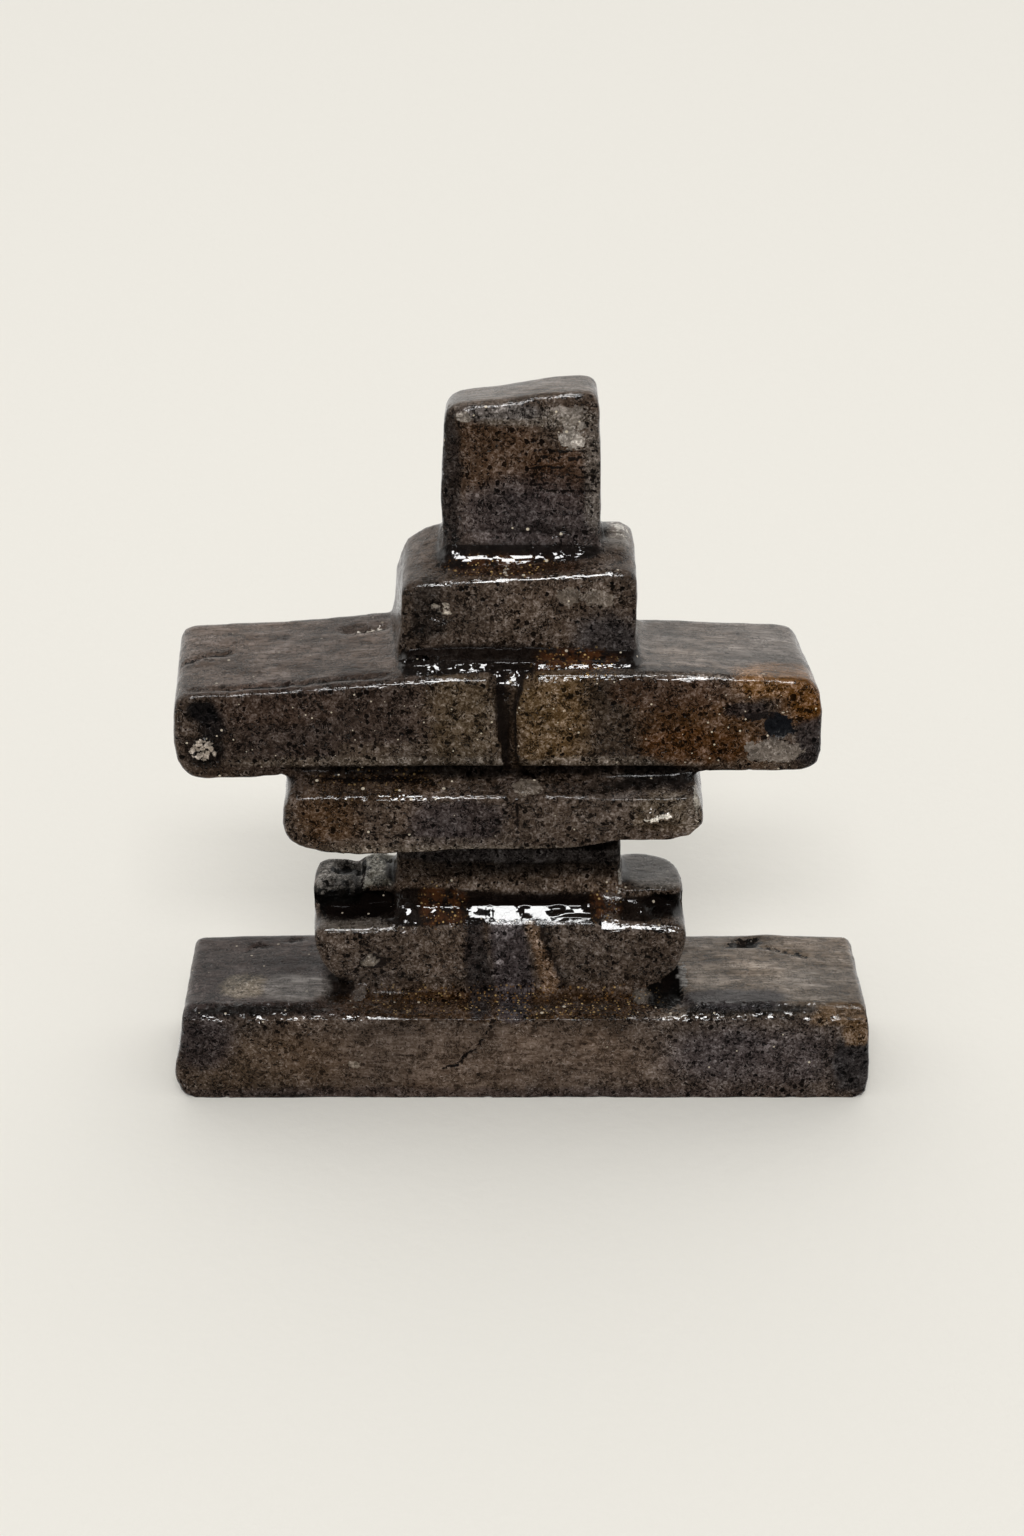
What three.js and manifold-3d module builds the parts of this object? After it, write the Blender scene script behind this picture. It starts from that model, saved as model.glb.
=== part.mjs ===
// A stone figure of seven stacked slabs with two outstretched arms, carved from one block.
// Millimetres, +Z up, +X to the viewer's right when the front is seen, +Y to the back.
// The flat underside stands at Z = 0 and the origin lies below the middle of the figure.

import * as THREE from "three";
import { LoftGeometry } from "three/addons/geometries/LoftGeometry.js";
import { mergeVertices } from "three/addons/utils/BufferGeometryUtils.js";
import Module from "manifold-3d";

// Each slab's size across and up, and how far its middle lies to the right
const baseLength = 102.7;
const baseHeight = 15.1;

const hipsLength = 54.5;
const hipsHeight = 11.5;
const hipsShift = -3.2;

const waistLength = 32.6;
const waistHeight = 16.7;
const waistShift = -2.0;

const chestLength = 58.9;
const chestHeight = 10.6;
const chestShift = -4.1;

const armsLength = 90.2;
const armsHeight = 16.5;
const armsShift = -3.35;

const shouldersLength = 33.5;
const shouldersHeight = 12.6;
const shouldersShift = -0.9;

const headLength = 22.0;
const headHeight = 24.7;
const headShift = -0.25;

// From front to back: the thickness of the head and of the waist, and the ledge by which each
// other slab stands out in front of the slab above it
const headDepth = 8.6;
const shouldersLedge = 5.4;
const armsLedge = 4.9;
const chestLedge = 4.3;
const waistDepth = 9.6;
const hipsLedge = 5.6;
const baseLedge = 6.0;

// How far the narrower slabs are set in at the flat back
const headSetIn = 0.5;
const shouldersSetIn = 0.2;
const waistSetIn = 1.2;
const hipsSetIn = 0.6;

// How deep a slab is bedded in its neighbours, and the radius of the worn edges
const bedding = 1.0;
const edgeRound = 1.0;

// The hollow fillets in the corners between slabs, where the lacquer has gathered
const filletReach = 1.5;
const filletRise = 1.3;

// The slope that climbs from the edge of the hips to the waist, and the sill at the waist's foot
const slopeRise = 2.6;
const sillHeight = 2.6;
const sillReach = 0.9;

// The broken lumps of stone left standing on the hips and behind the head
const leftLumpHeight = 2.9;
const leftCubeHeight = 3.5;
const rightLumpHeight = 3.6;
const pebbleHeight = 1.9;

// The groove down the middle of the arms, where lacquer has run down from the shoulders
const grooveWidth = 2.6;
const grooveDepth = 0.9;
const grooveShift = -2.0;

// Fineness of the facets: points on each stretch of an outline, and steps round an edge
const outlineSteps = 2;
const edgeSteps = 3;

// The depth of the other slabs from their fronts to the common back
const shouldersDepth = headDepth + shouldersLedge;
const armsDepth = shouldersDepth + armsLedge;
const chestDepth = armsDepth + chestLedge;
const hipsDepth = waistDepth + hipsLedge;
const baseDepth = hipsDepth + baseLedge;

// The back lies as far behind the origin as the foremost front lies before it
const backPlane = Math.max(baseDepth, chestDepth) / 2;

// The heights at which the slabs stand on each other
const hipsFoot = baseHeight;
const waistFoot = hipsFoot + hipsHeight;
const chestFoot = waistFoot + waistHeight;
const armsFoot = chestFoot + chestHeight - bedding / 2;
const shouldersFoot = armsFoot + armsHeight;
const headFoot = shouldersFoot + shouldersHeight;

const wasm = await Module();
wasm.setup();

// Turns a closed three.js geometry into a solid that can be joined and cut
function solidFrom(geometry) {
  const bare = new THREE.BufferGeometry();
  bare.setAttribute("position", geometry.attributes.position);
  bare.setIndex(geometry.index);
  const merged = mergeVertices(bare);
  const vertProperties = new Float32Array(merged.attributes.position.array);
  const triVerts = new Uint32Array(merged.index.array);
  return new wasm.Manifold(new wasm.Mesh({ numProp: 3, vertProperties, triVerts }));
}

// A solid skinned over a row of closed sections
function loft(sections) {
  return solidFrom(new LoftGeometry(sections, { capStart: true, capEnd: true }));
}

// A smooth closed curve through the given points, as a ring of points
function smoothRing(points) {
  const curve = new THREE.CatmullRomCurve3(points, true, "centripetal");
  return curve.getPoints(points.length * outlineSteps).slice(0, -1);
}

// The rounding of an edge: pairs of how far it draws in and how far it lies from the end face
function edgeProfile(round) {
  const pairs = [];
  for (let step = 0; step <= edgeSteps; step += 1) {
    const angle = (step / edgeSteps) * Math.PI / 2;
    pairs.push({ inset: round * (1 - Math.sin(angle)), along: round * (1 - Math.cos(angle)) });
  }
  return pairs;
}

// A slab between a front and a back outline. An outline is a list of points, anticlockwise as
// seen from the front: across as shares of half the length, up as shares of the height.
function slab({ length, height, depth, setIn = 0, shift = 0, foot, front, back = front }) {
  const thickness = depth - setIn;
  const middle = foot + height / 2;
  const place = ([across, up]) => new THREE.Vector3(shift + across * length / 2, 0, foot + up * height);
  const frontRing = smoothRing(front.map(place));
  const backRing = smoothRing(back.map(place));
  const ringAt = (distance, inset) => frontRing.map((point, index) => {
    const section = point.clone().lerp(backRing[index], distance / thickness);
    const across = 1 - inset / (length / 2);
    const up = 1 - inset / (height / 2);
    return new THREE.Vector3(
      shift + (section.x - shift) * across,
      backPlane - depth + distance,
      middle + (section.z - middle) * up,
    );
  });
  const rounding = edgeProfile(edgeRound);
  const fromBack = rounding.map(({ inset, along }) => ringAt(thickness - along, inset));
  const toFront = rounding.reverse().map(({ inset, along }) => ringAt(along, inset));
  return loft([...fromBack, ringAt(thickness / 2, 0), ...toFront]);
}

// A lump of stone that stands on a slab: a plan of points, anticlockwise as seen from above,
// across as shares of half the slab's length and back as shares of its depth.
function lump({ length, depth, shift, foot, height, plan }) {
  const place = ([across, back]) => new THREE.Vector3(
    shift + across * length / 2,
    backPlane - depth + back * depth,
    0,
  );
  const ring = smoothRing(plan.map(place));
  const middle = ring.reduce((sum, point) => sum.add(point), new THREE.Vector3()).divideScalar(ring.length);
  const reach = Math.max(...ring.map((point) => point.distanceTo(middle)));
  const ringAt = (up, inset) => ring.map((point) => {
    const section = point.clone().sub(middle).multiplyScalar(1 - inset / reach).add(middle);
    return section.setZ(up);
  });
  const rounding = edgeProfile(Math.min(edgeRound, height / 2)).reverse();
  const top = foot + height;
  return loft([ringAt(foot - bedding, 0), ...rounding.map(({ inset, along }) => ringAt(top - along, inset))]);
}

// A hollow fillet round the foot of a slab, along its front and its two sides. What the slab
// stands on may be lower at the left than at the right.
function fillet({ length, depth, shift, foot, leftDrop = 0, reach = filletReach, rise = filletRise }) {
  const insideBack = backPlane - waistSetIn - edgeRound;
  const planAt = (up, spread) => {
    const left = shift - length / 2 - spread;
    const right = shift + length / 2 + spread;
    const front = backPlane - depth - spread;
    const corner = edgeRound + Math.max(spread, 0);
    const cut = corner * (1 - Math.SQRT1_2);
    const plan = [
      [left + corner, front], [shift, front], [right - corner, front], [right - cut, front + cut],
      [right, front + corner], [right, insideBack], [left, insideBack], [left, front + corner],
      [left + cut, front + cut],
    ];
    const drop = (across) => leftDrop * (right - across) / (right - left);
    return plan.map(([across, back]) => new THREE.Vector3(across, back, up - drop(across)));
  };
  const sections = [planAt(foot - bedding, reach)];
  for (let step = 0; step <= edgeSteps; step += 1) {
    const angle = (step / edgeSteps) * Math.PI / 2;
    sections.push(planAt(foot + rise * (1 - Math.cos(angle)), reach * (1 - Math.sin(angle))));
  }
  sections.push(planAt(foot + rise + bedding, -edgeRound));
  return loft(sections);
}

// A strip that runs across the figure with one section, given as points back and up
function strip(left, right, section) {
  const shape = new THREE.Shape(section.map(([back, up]) => new THREE.Vector2(back, up)));
  const geometry = new THREE.ExtrudeGeometry(shape, { depth: right - left, bevelEnabled: false });
  const turn = new THREE.Matrix4().makeBasis(
    new THREE.Vector3(0, 1, 0),
    new THREE.Vector3(0, 0, 1),
    new THREE.Vector3(1, 0, 0),
  );
  geometry.applyMatrix4(turn);
  geometry.translate(left, 0, 0);
  return solidFrom(geometry);
}

// The base: a long slab that bulges low on its left end and is cut flat underneath
function makeBase() {
  const front = [
    [-0.955, -0.06], [0, -0.06], [0.97, -0.06], [0.996, 0.04], [1, 0.3], [0.995, 0.6], [0.988, 0.93],
    [0.97, 1], [0.4, 1], [-0.3, 1], [-0.945, 1], [-0.965, 0.95], [-0.972, 0.75], [-0.986, 0.52],
    [-1, 0.28], [-0.985, 0.06],
  ];
  const back = front.map(([across, up]) => [across > 0 ? across * 0.985 : across, up]);
  const block = slab({ length: baseLength, height: baseHeight, depth: baseDepth, foot: 0, front, back });
  const below = new THREE.BoxGeometry(2 * baseLength, 4 * baseDepth, baseHeight);
  below.translate(0, 0, -baseHeight / 2);
  return block.subtract(solidFrom(below));
}

// The hips: a slab with round lower corners and a top edge that is highest in the middle
function makeHips() {
  const front = [
    [-0.77, -0.09], [0, -0.09], [0.8, -0.09], [0.864, 0.1], [0.945, 0.29], [0.989, 0.55], [1, 0.8],
    [0.985, 0.92], [0.94, 0.96], [0.5, 1], [0.19, 1.03], [-0.35, 0.98], [-0.8, 0.94], [-0.96, 0.92],
    [-0.997, 0.84], [-0.978, 0.55], [-0.945, 0.32], [-0.864, 0.1],
  ];
  const back = front.map(([across, up]) => [across < 0 ? across * 1.02 : across * 0.99, up]);
  return slab({
    length: hipsLength, height: hipsHeight, depth: hipsDepth, setIn: hipsSetIn, shift: hipsShift,
    foot: hipsFoot, front, back,
  });
}

// The lumps on the hips: a broken chunk and a small cube on the left, a worn block on the right
function makeHipLumps() {
  const place = { length: hipsLength, depth: hipsDepth, shift: hipsShift, foot: waistFoot };
  const chunk = lump({
    ...place,
    height: leftLumpHeight,
    plan: [
      [-0.985, 0.25], [-0.9, 0.22], [-0.78, 0.235], [-0.745, 0.3], [-0.75, 0.6], [-0.77, 0.9], [-0.9, 0.96],
      [-0.98, 0.93], [-1, 0.8], [-1.005, 0.5],
    ],
  });
  const cube = lump({
    ...place,
    height: leftCubeHeight,
    plan: [
      [-0.74, 0.33], [-0.64, 0.31], [-0.57, 0.36], [-0.545, 0.45], [-0.54, 0.7], [-0.55, 0.94], [-0.7, 0.95],
      [-0.76, 0.9], [-0.757, 0.6], [-0.755, 0.4],
    ],
  });
  const block = lump({
    ...place,
    height: rightLumpHeight,
    plan: [
      [0.66, 0.27], [0.8, 0.28], [0.93, 0.28], [0.975, 0.33], [0.985, 0.5], [0.965, 0.7], [0.91, 0.88],
      [0.79, 0.96], [0.67, 0.965], [0.64, 0.9], [0.635, 0.6], [0.64, 0.32],
    ],
  });
  return chunk.add(cube).add(block);
}

// The waist: a narrow post, with a sill at its foot and a lacquered slope down to the hips' edge
function makeWaist() {
  const up = bedding / waistHeight;
  const front = [
    [-1, -up], [0, -up], [1, -up], [1.005, 0.3], [1, 0.7], [0.985, 1 + 2 * up], [0, 1 + 2 * up],
    [-0.985, 1 + 2 * up], [-1, 0.7], [-1.005, 0.3],
  ];
  const post = slab({
    length: waistLength, height: waistHeight, depth: waistDepth, setIn: waistSetIn, shift: waistShift,
    foot: waistFoot, front,
  });
  const left = waistShift - waistLength / 2;
  const right = waistShift + waistLength / 2;
  const face = backPlane - waistDepth;
  const lip = backPlane - hipsDepth + edgeRound;
  const sill = face - sillReach;
  const slopeTop = waistFoot + slopeRise;
  const slope = strip(left, right, [
    [lip, waistFoot - bedding],
    [face + bedding, waistFoot - bedding],
    [face + bedding, slopeTop + sillHeight],
    [face - edgeRound / 3, slopeTop + sillHeight],
    [sill, slopeTop + sillHeight - edgeRound],
    [sill - edgeRound / 3, slopeTop],
    [(sill + lip) / 2, waistFoot + slopeRise * 0.4],
    [lip + edgeRound / 2, waistFoot + slopeRise * 0.1],
  ]);
  return post.add(slope);
}

// The chest: the deepest slab, with a broken lower right corner and a hollow slope up to the arms
function makeChest() {
  const front = [
    [-0.871, 0.075], [-0.732, 0.01], [-0.538, 0], [-0.158, 0.075], [0.317, 0.085], [0.508, 0.16],
    [0.603, 0.225], [0.745, 0.22], [0.95, 0.3], [1, 0.48], [0.985, 0.78], [0.955, 0.92], [0.9, 0.97],
    [0.5, 0.95], [0, 0.93], [-0.5, 0.92], [-0.93, 0.91], [-0.972, 0.86], [-1, 0.49], [-0.976, 0.226],
  ];
  const back = front.map(([across, up]) => [across, up > 0.7 ? up + 0.14 : up]);
  const block = slab({
    length: chestLength, height: chestHeight, depth: chestDepth, shift: chestShift, foot: chestFoot, front, back,
  });
  const left = chestShift - 0.93 * chestLength / 2;
  const right = chestShift + 0.86 * chestLength / 2;
  const lip = backPlane - chestDepth + edgeRound;
  const armsFace = backPlane - armsDepth;
  const slope = strip(left, right, [
    [lip, armsFoot - bedding],
    [armsFace + bedding, armsFoot - bedding],
    [armsFace + bedding, armsFoot + 2 * bedding],
    [armsFace + edgeRound / 2, armsFoot + 2 * bedding],
    [(lip + armsFace) / 2, armsFoot + bedding * 0.2],
    [lip, armsFoot - bedding * 0.4],
  ]);
  return block.add(slope);
}

// The arms: the longest slab of the upper body, cambered along its top, with a groove in its
// middle where lacquer has run down from the shoulders
function makeArms() {
  const front = [
    [-0.911, -0.018], [-0.616, 0.018], [-0.306, 0.048], [0.004, 0.055], [0.439, 0.035], [0.749, 0.06],
    [0.945, 0.075], [0.99, 0.15], [1, 0.425], [0.99, 0.8], [0.956, 0.925], [0.858, 0.95], [0.614, 0.985],
    [0.37, 1], [0.126, 0.985], [-0.016, 0.972], [-0.208, 0.948], [-0.421, 0.9], [-0.665, 0.84],
    [-0.911, 0.8], [-0.972, 0.77], [-0.992, 0.68], [-1, 0.473], [-0.996, 0.168], [-0.962, 0.02],
  ];
  const back = front.map(([across, up]) => {
    const lift = up > 0.6 ? 0.15 * THREE.MathUtils.smoothstep(-across, -0.3, 0.2) - 0.04 : 0;
    return [across > 0 ? across * 0.955 : across * 1.015, up + lift];
  });
  const block = slab({
    length: armsLength, height: armsHeight, depth: armsDepth, shift: armsShift, foot: armsFoot, front, back,
  });
  const outline = [
    [0.5, 0.12], [1.3, 0.14], [1.15, 0.48], [1.2, 0.68], [1.75, 0.78], [2.3, 0.9], [3, 1.06], [-2.3, 1.06],
    [-2, 0.9], [-1.85, 0.75], [-1.1, 0.48], [-0.3, 0.14],
  ];
  const face = backPlane - armsDepth;
  const sectionAt = (back, widening) => outline.map(([across, up]) => new THREE.Vector3(
    grooveShift + (across - 0.4) * widening * grooveWidth / 2,
    back,
    armsFoot + up * armsHeight,
  ));
  const groove = loft([
    sectionAt(face + grooveDepth, 0.35), sectionAt(face, 1), sectionAt(face - bedding, 1.3),
  ]);
  return block.subtract(groove);
}

// The shoulders: a block that rises to the right, with a pebble left behind its top right corner
function makeShoulders() {
  const front = [
    [-0.96, -0.14], [0, -0.14], [0.98, -0.14], [0.99, 0.2], [1, 0.53], [0.99, 0.9], [0.955, 1],
    [0.803, 1.04], [0.522, 1.02], [-0.128, 0.968], [-0.618, 0.905], [-0.89, 0.86], [-0.935, 0.8],
    [-0.94, 0.6], [-0.95, 0.3],
  ];
  const back = front.map(([across, up]) => {
    const hump = Math.max(0, 0.15 - Math.abs(across + 0.6) / 2);
    const spread = across < 0 && up < 0.7 ? 1.08 : 0.985;
    return [across * spread, up > 0.7 ? up + 0.14 + hump : up];
  });
  const block = slab({
    length: shouldersLength, height: shouldersHeight, depth: shouldersDepth, setIn: shouldersSetIn,
    shift: shouldersShift, foot: shouldersFoot, front, back,
  });
  const pebble = lump({
    length: shouldersLength,
    depth: shouldersDepth,
    shift: shouldersShift,
    foot: headFoot,
    height: pebbleHeight,
    plan: [
      [0.66, 0.41], [0.8, 0.385], [0.89, 0.41], [0.92, 0.5], [0.905, 0.78], [0.83, 0.93], [0.73, 0.975],
      [0.64, 0.95], [0.63, 0.7],
    ],
  });
  return block.add(pebble);
}

// The head: an upright block, worn round at the top and a little higher on the right
function makeHead() {
  const front = [
    [-0.94, -0.06], [0, -0.06], [0.965, -0.06], [0.985, 0.1], [1, 0.234], [0.99, 0.48], [0.965, 0.85],
    [0.93, 0.955], [0.84, 0.995], [0.6, 1], [0.29, 0.99], [-0.009, 0.968], [-0.38, 0.952], [-0.76, 0.935],
    [-0.89, 0.9], [-0.94, 0.83], [-0.965, 0.6], [-1, 0.357], [-0.975, 0.15],
  ];
  const back = front.map(([across, up]) => [across, up > 0.6 ? up - 0.03 + 0.02 * across : up]);
  return slab({
    length: headLength, height: headHeight, depth: headDepth, setIn: headSetIn, shift: headShift,
    foot: headFoot, front, back,
  });
}

// The fillets round the feet of the hips, the shoulders and the head
function makeFillets() {
  const hips = fillet({
    length: hipsLength * 0.8, depth: hipsDepth, shift: hipsShift, foot: hipsFoot, reach: 2 * filletReach,
  });
  const shoulders = fillet({
    length: shouldersLength * 0.97, depth: shouldersDepth, shift: shouldersShift, foot: shouldersFoot,
    leftDrop: filletRise,
  });
  const head = fillet({
    length: headLength * 0.97, depth: headDepth, shift: headShift, foot: headFoot + filletRise / 2,
    leftDrop: 2 * filletRise, reach: 2 * filletReach,
  });
  return hips.add(shoulders).add(head);
}

const figure = [
  makeBase(), makeHips(), makeHipLumps(), makeWaist(), makeChest(), makeArms(), makeShoulders(), makeHead(),
  makeFillets(),
].reduce((whole, piece) => whole.add(piece));

const carved = figure.getMesh();
const surface = new THREE.BufferGeometry();
surface.setAttribute("position", new THREE.BufferAttribute(carved.vertProperties, 3));
surface.setIndex(new THREE.BufferAttribute(carved.triVerts, 1));
surface.computeVertexNormals();

const stone = new THREE.MeshStandardMaterial({ color: 0x4a423d, roughness: 0.35, metalness: 0 });
const body = new THREE.Mesh(surface, stone);
body.name = "inukshuk_figure";

const group = new THREE.Group();
group.add(body);

export default group;
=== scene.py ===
# The looks of the small stone figure: its fine carved surface, its lacquer, a pale floor and a soft light.
# Lengths are metres, as the frame gives them. Shapes are worked out in millimetres and turned back once.

from itertools import product

import bmesh
import bpy
import numpy as np
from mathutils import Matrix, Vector


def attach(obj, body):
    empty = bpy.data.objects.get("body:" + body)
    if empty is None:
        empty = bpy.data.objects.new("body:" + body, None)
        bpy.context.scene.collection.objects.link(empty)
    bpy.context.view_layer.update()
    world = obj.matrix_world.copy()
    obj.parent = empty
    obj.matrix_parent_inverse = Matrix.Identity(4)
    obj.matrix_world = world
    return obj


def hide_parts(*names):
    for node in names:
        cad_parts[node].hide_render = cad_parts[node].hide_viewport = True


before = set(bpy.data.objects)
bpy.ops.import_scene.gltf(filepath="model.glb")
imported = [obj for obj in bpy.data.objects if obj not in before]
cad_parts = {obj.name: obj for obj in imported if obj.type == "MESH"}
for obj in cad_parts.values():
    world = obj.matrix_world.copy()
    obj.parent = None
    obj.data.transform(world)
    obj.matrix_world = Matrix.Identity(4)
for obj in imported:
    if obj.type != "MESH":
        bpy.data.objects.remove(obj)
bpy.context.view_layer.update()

MM = 0.001

# The spacing of the net of points that carries the carved surface
NET_SPACING = 0.5 * MM

# Rounds of levelling after the net is laid, and rounds in which lacquer creeps into the corners
LEVELLING_ROUNDS = 2
LACQUER_ROUNDS = 34

# The camera: its place, what it looks at and its lens, for a picture of 1024 by 1536
CAMERA_PLACE = (-1.45 * MM, -364.1 * MM, 261.2 * MM)
CAMERA_TARGET = (-1.45 * MM, -9.6 * MM, 56.53 * MM)
CAMERA_LENS = 69.14

# How far the floor reaches to each side, in metres
FLOOR_REACH = 12.0


# Colours

def linear(code):
    """An sRGB hex code as linear red, green and blue: each share is divided by 12.92 when it is small, and
    otherwise (share + 0.055) / 1.055 to the power of 2.4."""
    shares = np.array([int(code[place:place + 2], 16) / 255 for place in (1, 3, 5)])
    return np.where(shares <= 0.04045, shares / 12.92, ((shares + 0.055) / 1.055) ** 2.4)


# Noise

def chance(cells, seed):
    """A fixed number from 0 to 1 for each whole-numbered cell: its three numbers are multiplied by large
    primes and mixed by shifts."""
    mixed = np.full(len(cells), seed * 0x9E3779B1 & 0xFFFFFFFF, np.uint32)
    for axis, prime in enumerate((0x85EBCA6B, 0xC2B2AE35, 0x27D4EB2F)):
        mixed ^= cells[:, axis].astype(np.int64).astype(np.uint32) * np.uint32(prime)
        mixed ^= mixed >> np.uint32(15)
        mixed *= np.uint32(0x2C1B3C6D)
        mixed ^= mixed >> np.uint32(12)
    return mixed / np.float64(0xFFFFFFFF)


def noise(places, size, seed):
    """Smooth noise from -1 to 1: chance at the corners of cubes of the given size, blended by the smooth
    step 3t^2 - 2t^3 of the place inside the cube."""
    cell = places / size
    corner = np.floor(cell)
    inside = cell - corner
    inside = inside * inside * (3 - 2 * inside)
    total = np.zeros(len(places))
    for step in product((0, 1), repeat=3):
        share = np.prod(np.where(step, inside, 1 - inside), axis=1)
        total += share * chance(corner + step, seed)
    return 2 * total - 1


def rough_noise(places, size, seed, layers=3):
    """Noise in layers, each half the size and 0.55 of the height of the one before."""
    heights = 0.55 ** np.arange(layers)
    total = sum(
        height * noise(places, size / 2 ** layer, seed + layer) for layer, height in enumerate(heights))
    return total / heights.sum()


def cells(places, size, seed):
    """For each place, the distance to the nearest of the points strewn one to a cube, as a share of the
    cube's size, and that point's own chance."""
    cell = places / size
    corner = np.floor(cell)
    nearest = np.full(len(places), 9.0)
    own = np.zeros(len(places))
    for step in product((-1, 0, 1), repeat=3):
        cube = corner + step
        point = cube + np.stack([chance(cube, seed + axis) for axis in range(3)], axis=1)
        distance = np.linalg.norm(cell - point, axis=1)
        nearer = distance < nearest
        nearest = np.where(nearer, distance, nearest)
        own = np.where(nearer, chance(cube, seed + 7), own)
    return nearest, own


def soft_step(low, high, values):
    """0 below low, 1 above high, and the smooth step 3t^2 - 2t^3 between them."""
    share = np.clip((values - low) / (high - low), 0, 1)
    return share * share * (3 - 2 * share)


# Masks

def between(low, high, values, edge=0.6):
    """1 where the values lie between low and high, falling smoothly to 0 over the edge on either side."""
    return soft_step(low - edge, low + edge, values) * (1 - soft_step(high - edge, high + edge, values))


def from_line(across, up, points):
    """The distance of each place (across, up) from a line of straight pieces: the least over the pieces of
    the distance to the nearest point of that piece."""
    nearest = np.full(len(across), 1e9)
    for (x0, z0), (x1, z1) in zip(points, points[1:]):
        side = np.array([x1 - x0, z1 - z0])
        share = np.clip(((across - x0) * side[0] + (up - z0) * side[1]) / (side @ side), 0, 1)
        nearest = np.minimum(nearest, np.hypot(across - x0 - share * side[0], up - z0 - share * side[1]))
    return nearest


def wander(places, seed):
    """How far noise moves each place: a coarse part from noise of 6 and 2.2 mm, and a fine part from noise
    of 0.9 mm. What is drawn around the moved places has ragged rims."""
    moves = [
        np.stack([
            height * noise(places, size, seed + 10 * axis + int(10 * size)) for axis in range(3)], axis=1)
        for size, height in ((6.0, 1.3), (2.2, 0.8), (0.9, 0.4))
    ]
    return moves[0] + moves[1], moves[2]


def drawn_from(places, coarse, fine, reach):
    """The moved places for a patch of this reach: the coarse move times a sixth of the smaller reach, and
    the fine one times half of it, each at most once. So a small patch's rim wanders little."""
    size = min(reach[0], reach[2])
    return places + min(size / 6, 1) * coarse + min(size / 2, 1) * fine


def covered(places, middle, reach, softness=0.3):
    """How far inside a patch each place lies, 0 to 1: falls from 1 to 0 around the rim of a box with well
    rounded corners, where the cubes of the distances in shares of the reach add up to 1."""
    share = np.cbrt((np.abs((places - middle) / reach) ** 3).sum(axis=1))
    return 1 - soft_step(1 - softness, 1 + softness, share)


# The net of points

def fine_net(node, spacing):
    """A copy of the solid's mesh, with its loose triangles merged, laid over with an even net of quads."""
    mesh = node.data.copy()
    work = bmesh.new()
    work.from_mesh(mesh)
    bmesh.ops.remove_doubles(work, verts=work.verts, dist=0.001 * MM)
    work.to_mesh(mesh)
    work.free()
    solid = bpy.data.objects.new("solid_copy", mesh)
    bpy.context.scene.collection.objects.link(solid)
    remesh = solid.modifiers.new("net", "REMESH")
    remesh.mode = "VOXEL"
    remesh.voxel_size = spacing
    bpy.context.view_layer.update()
    net = bpy.data.meshes.new_from_object(solid.evaluated_get(bpy.context.evaluated_depsgraph_get()))
    bpy.data.objects.remove(solid)
    bpy.data.meshes.remove(mesh)
    return net


def read_net(net):
    """The net's places in millimetres, its triangles and its edges, as arrays of numbers."""
    places = np.empty(len(net.vertices) * 3, np.float32)
    net.vertices.foreach_get("co", places)
    net.calc_loop_triangles()
    triangles = np.empty(len(net.loop_triangles) * 3, np.int32)
    net.loop_triangles.foreach_get("vertices", triangles)
    edges = np.empty(len(net.edges) * 2, np.int32)
    net.edges.foreach_get("vertices", edges)
    return places.reshape(-1, 3).astype(float) / MM, triangles.reshape(-1, 3), edges.reshape(-1, 2)


def neighbour_mean(values, edges):
    """The mean of each point's neighbours along the edges of the net."""
    columns = values.reshape(len(values), -1)
    count = np.bincount(edges.ravel(), minlength=len(values))
    means = [
        (np.bincount(edges[:, 0], column[edges[:, 1]], len(values))
         + np.bincount(edges[:, 1], column[edges[:, 0]], len(values))) / count
        for column in columns.T
    ]
    return np.stack(means, axis=1).reshape(values.shape)


def normals(places, triangles):
    """A triangle's normal is the cross product of two sides; a point's is the sum over its triangles,
    made one long."""
    first, second, third = (places[triangles[:, corner]] for corner in range(3))
    flat = np.cross(second - first, third - first)
    total = np.stack([
        sum(np.bincount(triangles[:, corner], flat[:, axis], len(places)) for corner in range(3))
        for axis in range(3)
    ], axis=1)
    return total / np.maximum(np.linalg.norm(total, axis=1), 1e-12)[:, None]


def level(places, edges, rounds):
    """Takes the steps out of the net: each point moves half way to its neighbours' mean, then a little
    more than that back again, so that edges hardly shrink."""
    for _ in range(rounds):
        for share in (0.5, -0.53):
            places = places + share * (neighbour_mean(places, edges) - places)
    return places


def gather_lacquer(places, triangles, edges, rounds):
    """Lacquer creeps into the hollow corners: a point that lies deeper than its neighbours' mean moves
    out to it along its normal, and so on for each round. Gives the places and each point's thickness."""
    thickness = np.zeros(len(places))
    willing = soft_step(-0.9, 0.6, noise(places, 9.0, 21))
    for middle, reach in DRY_GAPS:
        willing = willing * (1 - covered(places, middle, reach))
    for turn in range(rounds):
        if turn % 6 == 0:
            outward = normals(places, triangles)
        pull = neighbour_mean(places, edges) - places
        rise = np.maximum(np.einsum("ij,ij->i", pull, outward), 0) * willing
        places = places + rise[:, None] * outward
        thickness += rise
    return places, thickness


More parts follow.
